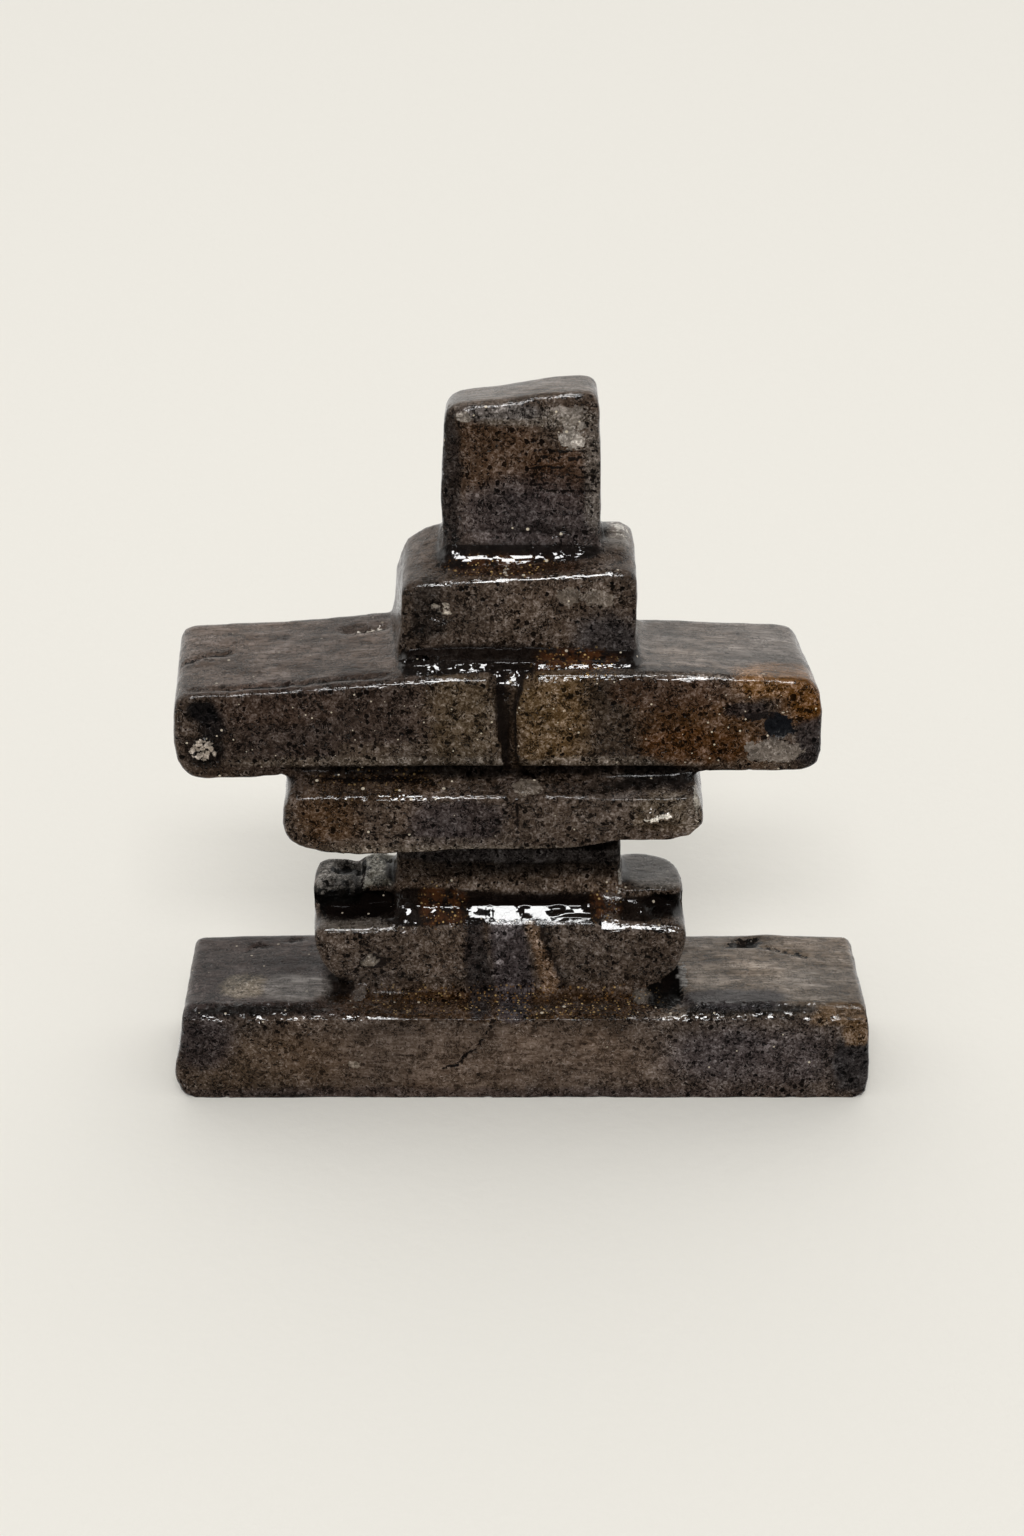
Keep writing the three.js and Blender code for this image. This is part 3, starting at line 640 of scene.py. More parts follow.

# Spots with a sharp rim: the middle, the reach and the colour. The darkest ones in holes, crevices and gaps
# are painted shade, and some small pale ones are painted highlights.
SPOTS_AND_PAINTED_LIGHT = (
    ((6.4, 3, 104.6), (2.2, 1.6, 1), "#7f7770"),
    ((6.2, 3, 102.6), (1, 1.6, 1.6), "#8a827a"),
    ((6.7, 3, 100.4), (1.6, 1.6, 1.3), "#9d958d"),
    ((5.6, 3, 101), (0.7, 1.6, 0.5), "#8b847d"),
    ((8, 3, 102.6), (0.6, 1.6, 0.8), "#8b847d"),
    ((-8, 2.6, 104), (0.9, 1.4, 0.8), "#928a82"),
    ((12.6, 8, 83.5), (2.3, 2.8, 1.8), "#b3ada3"),
    # Painted highlights: small pale dots standing in for glints on beads in the dent on the left arm's top.
    ((-23.2, 6.9, 68.8), (0.5, 0.6, 1.6), "#e6ded2"),
    ((-21.5, 7.1, 68.8), (0.7, 0.5, 1.6), "#d8cfc2"),
    ((-20.2, 7.4, 68.9), (0.4, 0.5, 1.6), "#e6ded2"),
    # Painted highlights: pale dots standing in for glints in the chipped ring on the shoulders' front.
    ((-11.9, -2.4, 77.7), (0.6, 1.2, 0.5), "#b5ab9f"),
    ((-10.6, -2.4, 77.9), (0.5, 1.2, 0.4), "#b5ab9f"),
    ((-10.7, -2.4, 76.8), (0.7, 1.2, 0.4), "#a89d90"),
    ((-11.9, -2.4, 76.6), (1, 1.2, 0.5), "#15110f"),
    ((6.4, -2.4, 79.6), (1.9, 1.4, 1.2), "#6f655c"),
    ((10.3, -2.4, 79.4), (2.2, 1.4, 1.2), "#6f655c"),
    ((-44.8, -7.6, 59.5), (0.5, 1.4, 0.42), "#bdb1a4"),
    ((-43.8, -7.6, 59.4), (0.5, 1.4, 0.42), "#aca196"),
    ((-45.6, -7.6, 58.6), (0.5, 1.4, 0.42), "#a1968b"),
    ((-44.5, -7.6, 58.5), (0.5, 1.4, 0.42), "#b6aa9e"),
    ((-43.3, -7.6, 58.7), (0.5, 1.4, 0.42), "#bdb1a4"),
    ((-46, -7.6, 57.6), (0.5, 1.4, 0.42), "#b6aa9e"),
    ((-44.9, -7.6, 57.4), (0.5, 1.4, 0.42), "#c8bcb0"),
    ((-43.9, -7.6, 57.6), (0.5, 1.4, 0.42), "#b2a69a"),
    ((-42.8, -7.6, 57.8), (0.5, 1.4, 0.42), "#a99e92"),
    ((-44.3, -7.6, 56.6), (0.5, 1.4, 0.42), "#aca196"),
    ((35.6, -7.3, 61.9), (2.2, 1.8, 1.6), "#141518"),
    ((33, -7.3, 63.4), (2.2, 1.8, 0.7), "#211c1b"),
    ((35.2, -7.3, 58), (3.9, 1.8, 1.9), "#766d65"),
    # Painted highlight: a pale line standing in for the highlight on a drip across the shoulders' ledge.
    ((-2.2, 0, 83), (0.35, 3.2, 1), "#b9b1a6"),
    ((0.5, -10.2, 54.2), (2.4, 1.9, 1.4), "#6b6157"),
    # Painted highlights: pale dots standing in for glints on the blister at the chest's right.
    ((17.9, -11.9, 49.6), (0.7, 1.4, 0.35), "#e4ddd2"),
    ((19, -12.2, 50), (0.8, 1.4, 0.35), "#e4ddd2"),
    ((20.1, -12, 50.4), (0.5, 1.4, 0.35), "#d8d0c4"),
    ((24.4, -10.8, 53.6), (0.6, 2.6, 2.8), "#a39c92"),
    # Painted shade: near-black in the gaps under the arms, right and left.
    ((17.6, -8.4, 54.4), (6.6, 0.9, 1.1), "#0b0807"),
    ((-20, -8.3, 54.4), (9, 0.8, 1.1), "#0e0a08"),
    ((-21.8, -3.6, 20.2), (2, 1.6, 1.4), "#1f1916"),
    # Painted highlight: the pale core of the bubble on the hips.
    ((-22.3, -4, 20.3), (1.3, 1.6, 0.9), "#8f857a"),
    ((-3.2, -3.6, 20.4), (0.6, 1.2, 0.5), "#8b8383"),
    # Painted shade: near-black in the left chunk's cavity and crevice, and in the small holes carved in it.
    ((-25.4, 7.8, 29.2), (2.8, 1.9, 2.2), "#090807"),
    ((-25.4, 0.8, 27.7), (7.6, 2.8, 1.8), "#090807"),
    ((-19.8, 8.3, 30.3), (0.5, 1.1, 1.2), "#0c0b0a"),
    ((-22.7, 5.9, 30.2), (0.5, 0.6, 1.2), "#0c0b0a"),
    ((-22.6, 4, 30.1), (0.4, 0.5, 1.2), "#0c0b0a"),
    ((-28.8, 3.6, 29.8), (0.6, 0.6, 1.2), "#161412"),
    ((-26, 3.6, 29.8), (0.5, 0.5, 1.2), "#161412"),
    ((-26.6, 1.2, 29.6), (0.6, 0.5, 1.2), "#161412"),
    ((14.3, 5, 30.6), (0.35, 6, 1.6), "#a7a199"),
    # Painted shade: near-black in the corner where the hips meet the base on the right.
    ((20.8, -4.6, 15.1), (3.2, 2.8, 1.8), "#0c0a09"),
    ((22.4, -1.4, 15.1), (1.5, 5, 2), "#0c0a09"),
    ((24, 0.2, 15.4), (0.6, 3.6, 1.4), "#827f7b"),
    ((-23.6, -4.9, 15.4), (1.1, 1.1, 1.2), "#574f49"),
    ((17.4, -5.2, 15.4), (1.4, 1.4, 1.2), "#575049"),
    ((34, 8.8, 15.1), (2.6, 1, 1.6), "#120e0c"),
    ((-24.6, -9.8, 6), (0.9, 1.2, 0.7), "#877c70"),
)

# The colours of the long faces that look up, each from left to right and from front to back
TOPS = (
    ((-30, 0, 68.5), (22, 16, 4), "#5c514a", 0.9),
    ((26, 0, 70), (18, 16, 3), "#70665e", 0.9),
    ((0, 6, 107), (16, 9, 2.6), "#635951", 0.9),
    ((-38, 0, 15.3), (18, 16, 1.8), "#3b322f", 0.9),
    ((38, 0, 15.3), (18, 16, 1.8), "#685c50", 0.9),
    ((21.5, 6, 30.5), (6, 9, 1.5), "#5f5a55", 1),
    ((-25.4, 6, 30), (6.6, 9, 1.5), "#77726c", 1),
    ((-20.9, 5, 30.2), (2.3, 8, 1.6), "#908d83", 1),
    ((13, 8, 83.5), (3.4, 5, 1.8), "#6d665f", 1),
)


def laid_over(colour, share, code):
    """The colour of each place moved towards another colour by its share."""
    return colour + share[:, None] * (linear(code) - colour)


def stone_colour_with_painted_light(places, facing):
    """The colour of the stone at each place, as linear red, green and blue, with painted shade in some
    crevices, gaps and under the chest, a painted reflection on the waist and a painted highlight on one
    streak.
    """
    colour = np.tile(linear(GROUND), (len(places), 1))
    top = soft_step(0.55, 0.9, facing[:, 2])
    tone = 1 + 0.42 * rough_noise(places, 7.0, 81, 3)
    tone += 0.55 * top * rough_noise(places * (0.5, 1, 1), 5.0, 85, 4)
    warmth = 0.07 * rough_noise(places, 11.0, 91, 2)
    coarse, fine = wander(places, 201)
    for middle, reach, code, strength in TOPS:
        rims = drawn_from(places, coarse, fine, reach)
        colour = laid_over(colour, strength * top * covered(rims, middle, reach, 0.25), code)
    for middle, reach, code, strength in PATCHES_AND_PAINTED_SHADE:
        rims = drawn_from(places, coarse, fine, reach)
        softness = 0.4 if min(reach[0], reach[2]) > 3.5 else 0.18
        colour = laid_over(colour, strength * covered(rims, middle, reach, softness), code)
    x, y, z = (places + 0.25 * coarse + 0.7 * fine).T
    for head, foot, head_half, foot_half, code, strength in STREAKS:
        half = np.interp(z, (foot[1], head[1]), (foot_half, head_half))
        inside = 1 - soft_step(0.8, 1.15, from_line(x, z, (head, foot)) / half)
        inside *= (y < STREAKS_BACK) * (z < STREAKS_TOP)
        colour = laid_over(colour, strength * inside, code)
    channel = channel_share(places)
    colour = laid_over(colour, 0.9 * channel, CHANNEL_COLOUR)
    colour *= tone[:, None] * (1 + warmth[:, None] * np.array([1.0, 0.1, -0.9]))
    return np.clip(colour, 0.002, 1)


def sharp_spots(places, facing):
    """The spots and cracks whose rims stay sharp; among the spots are painted shade in holes, crevices and
    gaps, and small painted highlights. A spot is an ellipsoid, and a place's distance inside its rim is 1
    less its distance from the middle in shares of the reach, times the smallest reach. Gives for each place
    half plus a quarter of the greatest of these distances, held between 0 and 1, and the colour of the last
    spot that it lies in, or else of the nearest one. The material cuts the first at about a half."""
    depth = np.full(len(places), -2.0)
    colour = np.tile(linear(GROUND), (len(places), 1))
    coarse, fine = wander(places, 301)
    for middle, reach, code in SPOTS_AND_PAINTED_LIGHT:
        rims = drawn_from(places, coarse, 1.4 * fine, reach)
        inside = (1 - np.linalg.norm((rims - middle) / reach, axis=1)) * min(reach)
        colour[(inside > depth) | (inside > 0)] = linear(code)
        depth = np.maximum(depth, inside)
    in_crack = CRACK_DARK * CRACK_WIDTH - from_cracks(places, facing)
    colour[in_crack > depth] = linear(CRACK_COLOUR)
    depth = np.maximum(depth, in_crack)
    return np.clip(0.5 + 0.25 * depth, 0, 1), colour


# Where amber sparks show in the lacquer, where beads and bubbles crowd in it and pale flecks are painted
# as glints on it and on the stone, where it is thin and dull, which fronts are sanded nearly smooth, and
# where the faces that look up are as rough as the fronts. Each place has its middle, its reach and how
# strong it is.
AMBER = (
    ((4, -6, 14.9), (14, 3.4, 1.8), 1),
    ((-14, -6, 14.9), (9, 3, 1.6), 0.6),
    ((-11.4, -1.6, 28.6), (3.2, 3, 2.8), 1),
    ((12.4, -1.6, 28.6), (2, 3, 2.4), 0.9),
    ((7.6, -5.2, 70.6), (5.4, 2.8, 1.6), 1),
    ((-21, -10, 53.6), (9, 3.4, 1.6), 0.25),
    ((-3, 0.2, 82.7), (7, 1.8, 1.2), 0.8),
)
# Beads raise small steep facets in the coat, and also crowd the painted glints (pale flecks).
BEADS_AND_GLINTS = (
    ((-1.7, -7.2, 68.6), (2.8, 2.2, 2.2), 0.6),
    ((-16.4, -2, 28), (2, 3, 2.2), 1),
    ((-11, -1.6, 28.4), (3, 3, 2), 0.5),
    ((19.2, 0.2, 27.6), (2.4, 1.6, 0.8), 0.8),
    ((-11, -5.4, 70.2), (6, 1.8, 1.2), 0.45),
    ((8, -5.4, 70.2), (7, 2, 1.4), 0.35),
    ((5.4, 1.6, 84), (3.4, 2.4, 2.4), 0.6),
    ((18.9, -12, 50), (2.4, 1.4, 1.2), 0.9),
    ((-12.4, -2.6, 77.4), (1.8, 1.4, 1.8), 1),
    ((-20, -9.6, 53.8), (9, 2.4, 1.4), 0.8),
    ((-39, -9, 14.9), (9, 1.6, 1.2), 0.8),
    ((-26, -8, 14.9), (4, 1.6, 1.2), 0.8),
    ((33, -8.8, 14.9), (14, 1.6, 1.2), 0.8),
    ((41, -9.4, 10), (5, 1.4, 5), 0.45),
    ((0, -7, 15), (22, 2.6, 1.2), 0.6),
    ((-44.3, -7.6, 58), (2.6, 1.4, 2.3), 0.5),
    ((-10.4, 2.6, 95), (1.6, 1.4, 11), 0.5),
    ((-22, 7.2, 69.9), (3, 0.9, 1.2), 0.8),
)
DULL = (
    ((3, -11.3, 53.4), (12, 1.4, 0.8), 0.5),
    ((-41, 2, 15.3), (10, 9, 1.4), 0.3),
    ((22, -0.6, 15.8), (2.6, 4.6, 1.8), 1),
    ((-27, -0.6, 15.8), (2.4, 4.6, 1.6), 0.9),
    ((2, 1.6, 31.9), (22, 1.8, 0.9), 1),
    ((-2, 1, 29.9), (21, 1.4, 1.2), 1),
    ((0, -4.4, 16), (26, 1.6, 1.5), 1),
    ((-3, -7.6, 55), (36, 2.2, 1.5), 1),
    ((2, 2, 38.6), (20, 2, 6), 0.8),
    ((-25.2, 1.6, 28), (7.6, 3, 2), 0.95),
    ((-25.4, 6, 30), (6.8, 9, 1.6), 0.6),
    ((20, 0.9, 28.4), (6, 1.4, 1.4), 0.9),
    ((0, -2.9, 71.8), (18, 1.6, 1.8), 0.95),
    ((-9, -9.4, 54.6), (44, 2, 1.2), 0.5),
    ((19, -11.6, 46.9), (7, 1.6, 1), 0.9),
)
SMOOTH_FRONTS = (
    ((-7, -9.6, 7), (27, 2, 6.6), 0.55),
    ((-38, -9.6, 5.6), (8, 2, 4.6), 0.25),
)
ROUGH_LEDGES = (
    ((-43, 0, 68), (6, 8, 2), 0.35),
    ((-44, 0, 15.3), (6, 9, 1.4), 0.5),
    ((-33, 4, 15.3), (12, 4, 1.4), 0.3),
    ((-3, -9.6, 54.2), (34, 3.4, 2.4), 1),
    ((-2, -7, 15.2), (25, 4.2, 1.6), 1),
    ((0, 0, 82.8), (15, 2.8, 1.6), 0.8),
    ((0, -1, 28.6), (28, 4, 3.2), 0.9),
    ((-1, 2, 31.8), (19, 2, 1.4), 1),
    ((24, -5.8, 69.8), (9, 1.6, 1.4), 0.9),
    ((-28, -5.9, 68), (16, 1.4, 2), 0.6),
    ((-25.4, 5, 29.6), (6.8, 8, 2), 0.9),
    ((0, -8.6, 14.9), (50, 1.4, 1.2), 0.9),
)


def strewn(places, spots):
    """The strongest of the spots at each place, 0 to 1."""
    total = np.zeros(len(places))
    coarse, fine = wander(places, 401)
    for middle, reach, strength in spots:
        total = np.maximum(total, strength * covered(drawn_from(places, coarse, fine, reach), middle, reach))
    return total


def smooth_share(places, facing, thickness):
    """How smooth and even the surface is, 0 to 1: the faces that look up or sideways are sanded, and the
    gathered lacquer has levelled itself out."""
    sanded = np.maximum(soft_step(0.6, 0.95, facing[:, 2]), soft_step(0.75, 0.95, np.abs(facing[:, 0])))
    sanded = 0.9 * sanded * (1 - soft_step(0.05, 0.3, thickness)) * (1 - strewn(places, ROUGH_LEDGES))
    return np.clip(np.maximum(sanded, strewn(places, SMOOTH_FRONTS)), 0, 1)


# The figure

# The thickness in millimetres at which lacquer looks its darkest, how thick it lies in the channel, and the
# share of beads and painted glints along the worn edges
FULL_LACQUER = 0.6
CHANNEL_LACQUER = 0.34
BEADS_ON_EDGES = 0.13


def carved_figure(node):
    """The figure: the solid under an even net, worn, with lacquer in its corners and relief all over."""
    net = fine_net(node, NET_SPACING)
    places, triangles, edges = read_net(net)
    places = level(places, edges, LEVELLING_ROUNDS)
    places, poured = fill_joints(places)
    places, thickness = gather_lacquer(places, triangles, edges, LACQUER_ROUNDS)
    thickness += poured
    places, worn = wear_edges(lower_middle(places))
    drips = channel_share(places) - 0.75 * channel_ridge(places)
    thickness = np.maximum(thickness, CHANNEL_LACQUER * drips)
    facing = normals(places, triangles)
    for _ in range(2):
        facing = neighbour_mean(facing, edges)
    facing /= np.linalg.norm(facing, axis=1)[:, None]
    places = mark(places + carve(places, facing, thickness, worn)[:, None] * facing)
    places[:, 2] = np.maximum(places[:, 2], 0)
    net.vertices.foreach_set("co", (places * MM).astype(np.float32).ravel())
    net.polygons.foreach_set("use_smooth", np.ones(len(net.polygons), bool))
    spot, spot_colour_with_painted_light = sharp_spots(places, facing)
    for name, values in (("stone_colour_with_painted_light", stone_colour_with_painted_light(places, facing)), ("spot_colour_with_painted_light", spot_colour_with_painted_light)):
        colour = net.color_attributes.new(name, "FLOAT_COLOR", "POINT")
        shares = np.column_stack([values, np.ones(len(places))])
        colour.data.foreach_set("color", shares.astype(np.float32).ravel())
    lacquer = np.clip(thickness / FULL_LACQUER, 0, 1)
    for name, values in (
        ("lacquer", lacquer),
        ("levelled", np.maximum(lacquer, worn)),
        ("spot", spot),
        ("amber", strewn(places, AMBER)),
        ("beads_and_glints", np.maximum(strewn(places, BEADS_AND_GLINTS), BEADS_ON_EDGES * worn)),
        ("gloss", 1 - strewn(places, DULL)),
        ("smooth", smooth_share(places, facing, thickness)),
    ):
        attribute = net.attributes.new(name, "FLOAT", "POINT")
        attribute.data.foreach_set("value", values.astype(np.float32))
    net.update()
    piece = bpy.data.objects.new("carved_figure", net)
    bpy.context.scene.collection.objects.link(piece)
    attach(piece, "root")
    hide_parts("inukshuk_figure")
    return piece


# Materials

def add(tree, kind, inputs=None, **settings):
    """Adds a node of this kind. Each input is given by its name or number, as a value or as the output
    that is linked to it; the other words are the node's own settings."""
    made = tree.nodes.new(kind)
    for name, value in settings.items():
        setattr(made, name, value)
    for name, value in (inputs or {}).items():
        if isinstance(value, bpy.types.NodeSocket):
            tree.links.new(value, made.inputs[name])
        else:
            made.inputs[name].default_value = value
    return made


def empty_material(name):
    """A new material with nothing in its tree but the output."""
    material = bpy.data.materials.new(name)
    material.use_nodes = True
    material.node_tree.nodes.clear()
    return material, material.node_tree, material.node_tree.nodes.new("ShaderNodeOutputMaterial")


# Pattern sizes in millimetres. Each kind of pit has its cell's size, and its widest half width and its lip's
# height as shares; each kind of facet has its size and its slope.
FRAY_SIZE = 0.6
GRIT_SIZE = 0.5
MOTTLE_SIZE = 3.0
WORM_SIZE = 1.1
WORM_BREAK_SIZE = 1.7
PITS = ((1.0, 0.46, 0.8), (0.5, 0.4, 0.3))
STREAK_SIZE = 1.6
SCRATCH_SIZE = 0.4
SPARK_SIZE = 0.42
# Painted glints: the size of the cells in which pale flecks are painted
GLINT_SIZE = 1.4
BEND_SIZE = 0.9
RIPPLES = (2.0, 0.1)
FACETS = (0.7, 0.6)

# A map range node takes a value (0) from one range (1 and 2) to another (3 and 4, or 0 to 1) and holds it at
# the ends. With this setting it does so by the smooth step.
SMOOTHLY = {"interpolation_type": "SMOOTHSTEP"}


def lacquered_soapstone():
    """Soft dark stone, carved and sanded, under thick clear gloss lacquer brushed on by hand. The stone is
    speckled with dark pores, with pale flecks painted on as glints; the lacquer is almost black where
    it has gathered."""
    material, tree, output = empty_material("lacquered_soapstone")
    place = add(tree, "ShaderNodeTexCoord").outputs["Object"]
    place = add(tree, "ShaderNodeVectorMath", {0: place, "Scale": 1 / MM}, operation="SCALE").outputs[0]
    stone, spot_colour_with_painted_light = (
        add(tree, "ShaderNodeAttribute", attribute_name=name).outputs["Color"]
        for name in ("stone_colour_with_painted_light", "spot_colour_with_painted_light"))
    lacquer, levelled, spot, amber, glinting_beads, gloss, smooth = (
        add(tree, "ShaderNodeAttribute", attribute_name=name).outputs["Fac"]
        for name in ("lacquer", "levelled", "spot", "amber", "beads_and_glints", "gloss", "smooth"))

    # Spots: their rims are cut sharp, and frayed by a fine noise
    fray = add(tree, "ShaderNodeTexNoise", {
        "Vector": place, "Scale": 1 / FRAY_SIZE, "Detail": 3.0, "Roughness": 0.6}).outputs["Fac"]
    frayed = add(tree, "ShaderNodeMath", {0: fray, 1: 0.32, 2: spot}, operation="MULTIPLY_ADD").outputs[0]
    spotted = add(tree, "ShaderNodeMapRange", {0: frayed, 1: 0.645, 2: 0.675}, **SMOOTHLY).outputs[0]
    stone = add(tree, "ShaderNodeMix", {
        "Factor": spotted, "A": stone, "B": spot_colour_with_painted_light}, data_type="RGBA").outputs[2]

    # Grit: fine mottling, down to a quarter of its size and less, over broad mottling. Each multiplies the
    # stone's tone by a number to the power of the noise less its middle value.
    grit = add(tree, "ShaderNodeTexNoise", {
        "Vector": place, "Scale": 1 / GRIT_SIZE, "Detail": 3.0, "Roughness": 0.65,
        "Distortion": 0.8}).outputs["Fac"]
    mottle = add(tree, "ShaderNodeTexNoise", {
        "Vector": place, "Scale": 1 / MOTTLE_SIZE, "Detail": 3.0, "Roughness": 0.6,
        "Distortion": 0.8}).outputs["Fac"]
    off_grit = add(tree, "ShaderNodeMath", {0: grit, 1: 0.542}, operation="SUBTRACT").outputs[0]
    grit_tone = add(tree, "ShaderNodeMath", {0: 340.0, 1: off_grit}, operation="POWER").outputs[0]
    off_mottle = add(tree, "ShaderNodeMath", {0: mottle, 1: 0.5}, operation="SUBTRACT").outputs[0]
    mottle_tone = add(tree, "ShaderNodeMath", {0: 13.0, 1: off_mottle}, operation="POWER").outputs[0]
    grit_tone = add(tree, "ShaderNodeMath", {0: grit_tone, 1: mottle_tone}, operation="MULTIPLY").outputs[0]

    # Worm lines: where one noise crosses its middle value, broken up by a second noise
    winding = add(tree, "ShaderNodeTexNoise", {
        "Vector": place, "Scale": 1 / WORM_SIZE, "Detail": 2.0, "Roughness": 0.6,
        "Distortion": 1.4}).outputs["Fac"]
    off_line = add(tree, "ShaderNodeMath", {0: winding, 1: 0.5}, operation="SUBTRACT").outputs[0]
    off_line = add(tree, "ShaderNodeMath", {0: off_line}, operation="ABSOLUTE").outputs[0]
    on_line = add(tree, "ShaderNodeMapRange", {
        0: off_line, 1: 0.015, 2: 0.06, 3: 1.0, 4: 0.0}, **SMOOTHLY).outputs[0]
    breaks = add(tree, "ShaderNodeTexNoise", {
        "Vector": place, "Scale": 1 / WORM_BREAK_SIZE, "Detail": 2.0, "Roughness": 0.6}).outputs["Fac"]
    unbroken = add(tree, "ShaderNodeMapRange", {0: breaks, 1: 0.42, 2: 0.56, 4: 0.95}, **SMOOTHLY).outputs[0]
    hollow = add(tree, "ShaderNodeMath", {0: on_line, 1: unbroken}, operation="MULTIPLY").outputs[0]

    # Pits: dark, bent out of round, and crowded where the mottling is pale. They and the worm lines have a
    # paler lip.
    twists = add(tree, "ShaderNodeTexNoise", {
        "Vector": place, "Scale": 1 / GRIT_SIZE, "Detail": 1.0}).outputs["Color"]
    twisted = add(tree, "ShaderNodeVectorMath", {
        0: twists, 1: (0.8, 0.8, 0.8), 2: place}, operation="MULTIPLY_ADD").outputs[0]
    lip = add(tree, "ShaderNodeMapRange", {
        0: off_line, 1: 0.06, 2: 0.14, 3: 0.4, 4: 0.0}, **SMOOTHLY).outputs[0]
    for size, widest, lip_height in PITS:
        pits = add(tree, "ShaderNodeTexVoronoi", {"Vector": twisted, "Scale": 1 / size}, feature="F1")
        pit_chance = add(tree, "ShaderNodeSeparateColor", {0: pits.outputs["Color"]}).outputs[0]
        pit_chance = add(tree, "ShaderNodeMath", {
            0: mottle, 1: -1.6, 2: pit_chance}, operation="MULTIPLY_ADD").outputs[0]
        pit_reach = add(tree, "ShaderNodeMapRange", {0: pit_chance, 1: -0.42, 2: 0.2, 4: widest}).outputs[0]
        inside_pit = add(tree, "ShaderNodeMath", {
            0: pit_reach, 1: pits.outputs["Distance"]}, operation="SUBTRACT").outputs[0]
        pit = add(tree, "ShaderNodeMapRange", {0: inside_pit, 1: 0.0, 2: 0.07}, **SMOOTHLY).outputs[0]
        hollow = add(tree, "ShaderNodeMath", {0: hollow, 1: pit}, operation="MAXIMUM").outputs[0]
        near_pit = add(tree, "ShaderNodeMapRange", {
            0: inside_pit, 1: -0.16, 2: -0.02, 4: lip_height}, **SMOOTHLY).outputs[0]
        lip = add(tree, "ShaderNodeMath", {0: near_pit, 1: lip}, operation="MAXIMUM").outputs[0]
    rough_tone = add(tree, "ShaderNodeMath", {
        0: grit_tone, 1: lip, 2: grit_tone}, operation="MULTIPLY_ADD").outputs[0]
    hollow_tone = add(tree, "ShaderNodeMapRange", {0: hollow, 3: 1.0, 4: 0.07}).outputs[0]
    rough_tone = add(tree, "ShaderNodeMath", {
        0: rough_tone, 1: hollow_tone}, operation="MULTIPLY").outputs[0]
    evened = add(tree, "ShaderNodeMath", {0: spotted, 1: 0.45}, operation="MULTIPLY").outputs[0]
    rough_tone = add(tree, "ShaderNodeMix", {
        "Factor": evened, "A": rough_tone, "B": 1.0}, data_type="FLOAT").outputs[0]

    # Smooth faces: long faint streaks and scratches from left to right
    long_place = add(tree, "ShaderNodeVectorMath", {
        0: place, 1: (0.3, 1.0, 1.0)}, operation="MULTIPLY").outputs[0]
    streaks = add(tree, "ShaderNodeTexNoise", {
        "Vector": long_place, "Scale": 1 / STREAK_SIZE, "Detail": 6.0, "Roughness": 0.7,
        "Distortion": 0.3}).outputs["Fac"]
    streak_tone = add(tree, "ShaderNodeMapRange", {0: streaks, 1: 0.3, 2: 0.7, 3: 0.15, 4: 1.85}).outputs[0]
    thin_place = add(tree, "ShaderNodeVectorMath", {
        0: place, 1: (0.16, 1.0, 1.0)}, operation="MULTIPLY").outputs[0]
    scratches = add(tree, "ShaderNodeTexNoise", {
        "Vector": thin_place, "Scale": 1 / SCRATCH_SIZE, "Detail": 3.0, "Roughness": 0.7}).outputs["Fac"]
    scratch_tone = add(tree, "ShaderNodeMapRange", {0: scratches, 1: 0.3, 2: 0.7, 3: 0.4, 4: 1.6}).outputs[0]
    hollow_tone = add(tree, "ShaderNodeMapRange", {0: hollow, 3: 1.0, 4: 0.6}).outputs[0]
    for factor in (scratch_tone, hollow_tone):
        streak_tone = add(tree, "ShaderNodeMath", {
            0: streak_tone, 1: factor}, operation="MULTIPLY").outputs[0]
    tone = add(tree, "ShaderNodeMix", {
        "Factor": smooth, "A": rough_tone, "B": streak_tone}, data_type="FLOAT").outputs[0]
    toned = add(tree, "ShaderNodeVectorMath", {0: stone, "Scale": tone}, operation="SCALE").outputs[0]
    saturation = add(tree, "ShaderNodeMapRange", {0: tone, 1: 0.5, 2: 2.2, 3: 1.22, 4: 0.7}).outputs[0]
    toned = add(tree, "ShaderNodeHueSaturation", {"Saturation": saturation, "Color": toned}).outputs[0]

    # Gathered lacquer: almost black, with clouds of brown and amber sparks where the attribute asks for them
    clouds = add(tree, "ShaderNodeMapRange", {0: breaks, 1: 0.4, 2: 0.6}, **SMOOTHLY).outputs[0]
    browned = add(tree, "ShaderNodeMath", {0: clouds, 1: amber}, operation="MULTIPLY").outputs[0]
    thick = add(tree, "ShaderNodeMix", {
        "Factor": browned, "A": (*linear("#100b09"), 1), "B": (*linear("#4a2c18"), 1)},
        data_type="RGBA").outputs[2]
    pooled = add(tree, "ShaderNodeMapRange", {0: lacquer, 1: 0.1, 2: 0.6, 4: 0.93}, **SMOOTHLY).outputs[0]
    dark = add(tree, "ShaderNodeMix", {
        "Factor": pooled, "A": toned, "B": thick}, data_type="RGBA").outputs[2]
    sparks = add(tree, "ShaderNodeTexVoronoi", {"Vector": place, "Scale": 1 / SPARK_SIZE}, feature="F1")
    spark_chances = add(tree, "ShaderNodeSeparateColor", {0: sparks.outputs["Color"]})
    spark_kind = add(tree, "ShaderNodeMapRange", {
        0: spark_chances.outputs[2], 1: 0.5, 2: 1.0}, **SMOOTHLY).outputs[0]
    spark_colour = add(tree, "ShaderNodeMix", {
        "Factor": spark_kind, "A": (*linear("#684a2a"), 1), "B": (*linear("#c8a870"), 1)},
        data_type="RGBA").outputs[2]
    spark_reach = add(tree, "ShaderNodeMapRange", {
        0: spark_chances.outputs[1], 1: 0.15, 2: 1.0, 4: 0.52}).outputs[0]
    inside_spark = add(tree, "ShaderNodeMath", {
        0: spark_reach, 1: sparks.outputs["Distance"]}, operation="SUBTRACT").outputs[0]
    spark = add(tree, "ShaderNodeMapRange", {0: inside_spark, 1: 0.0, 2: 0.12}, **SMOOTHLY).outputs[0]
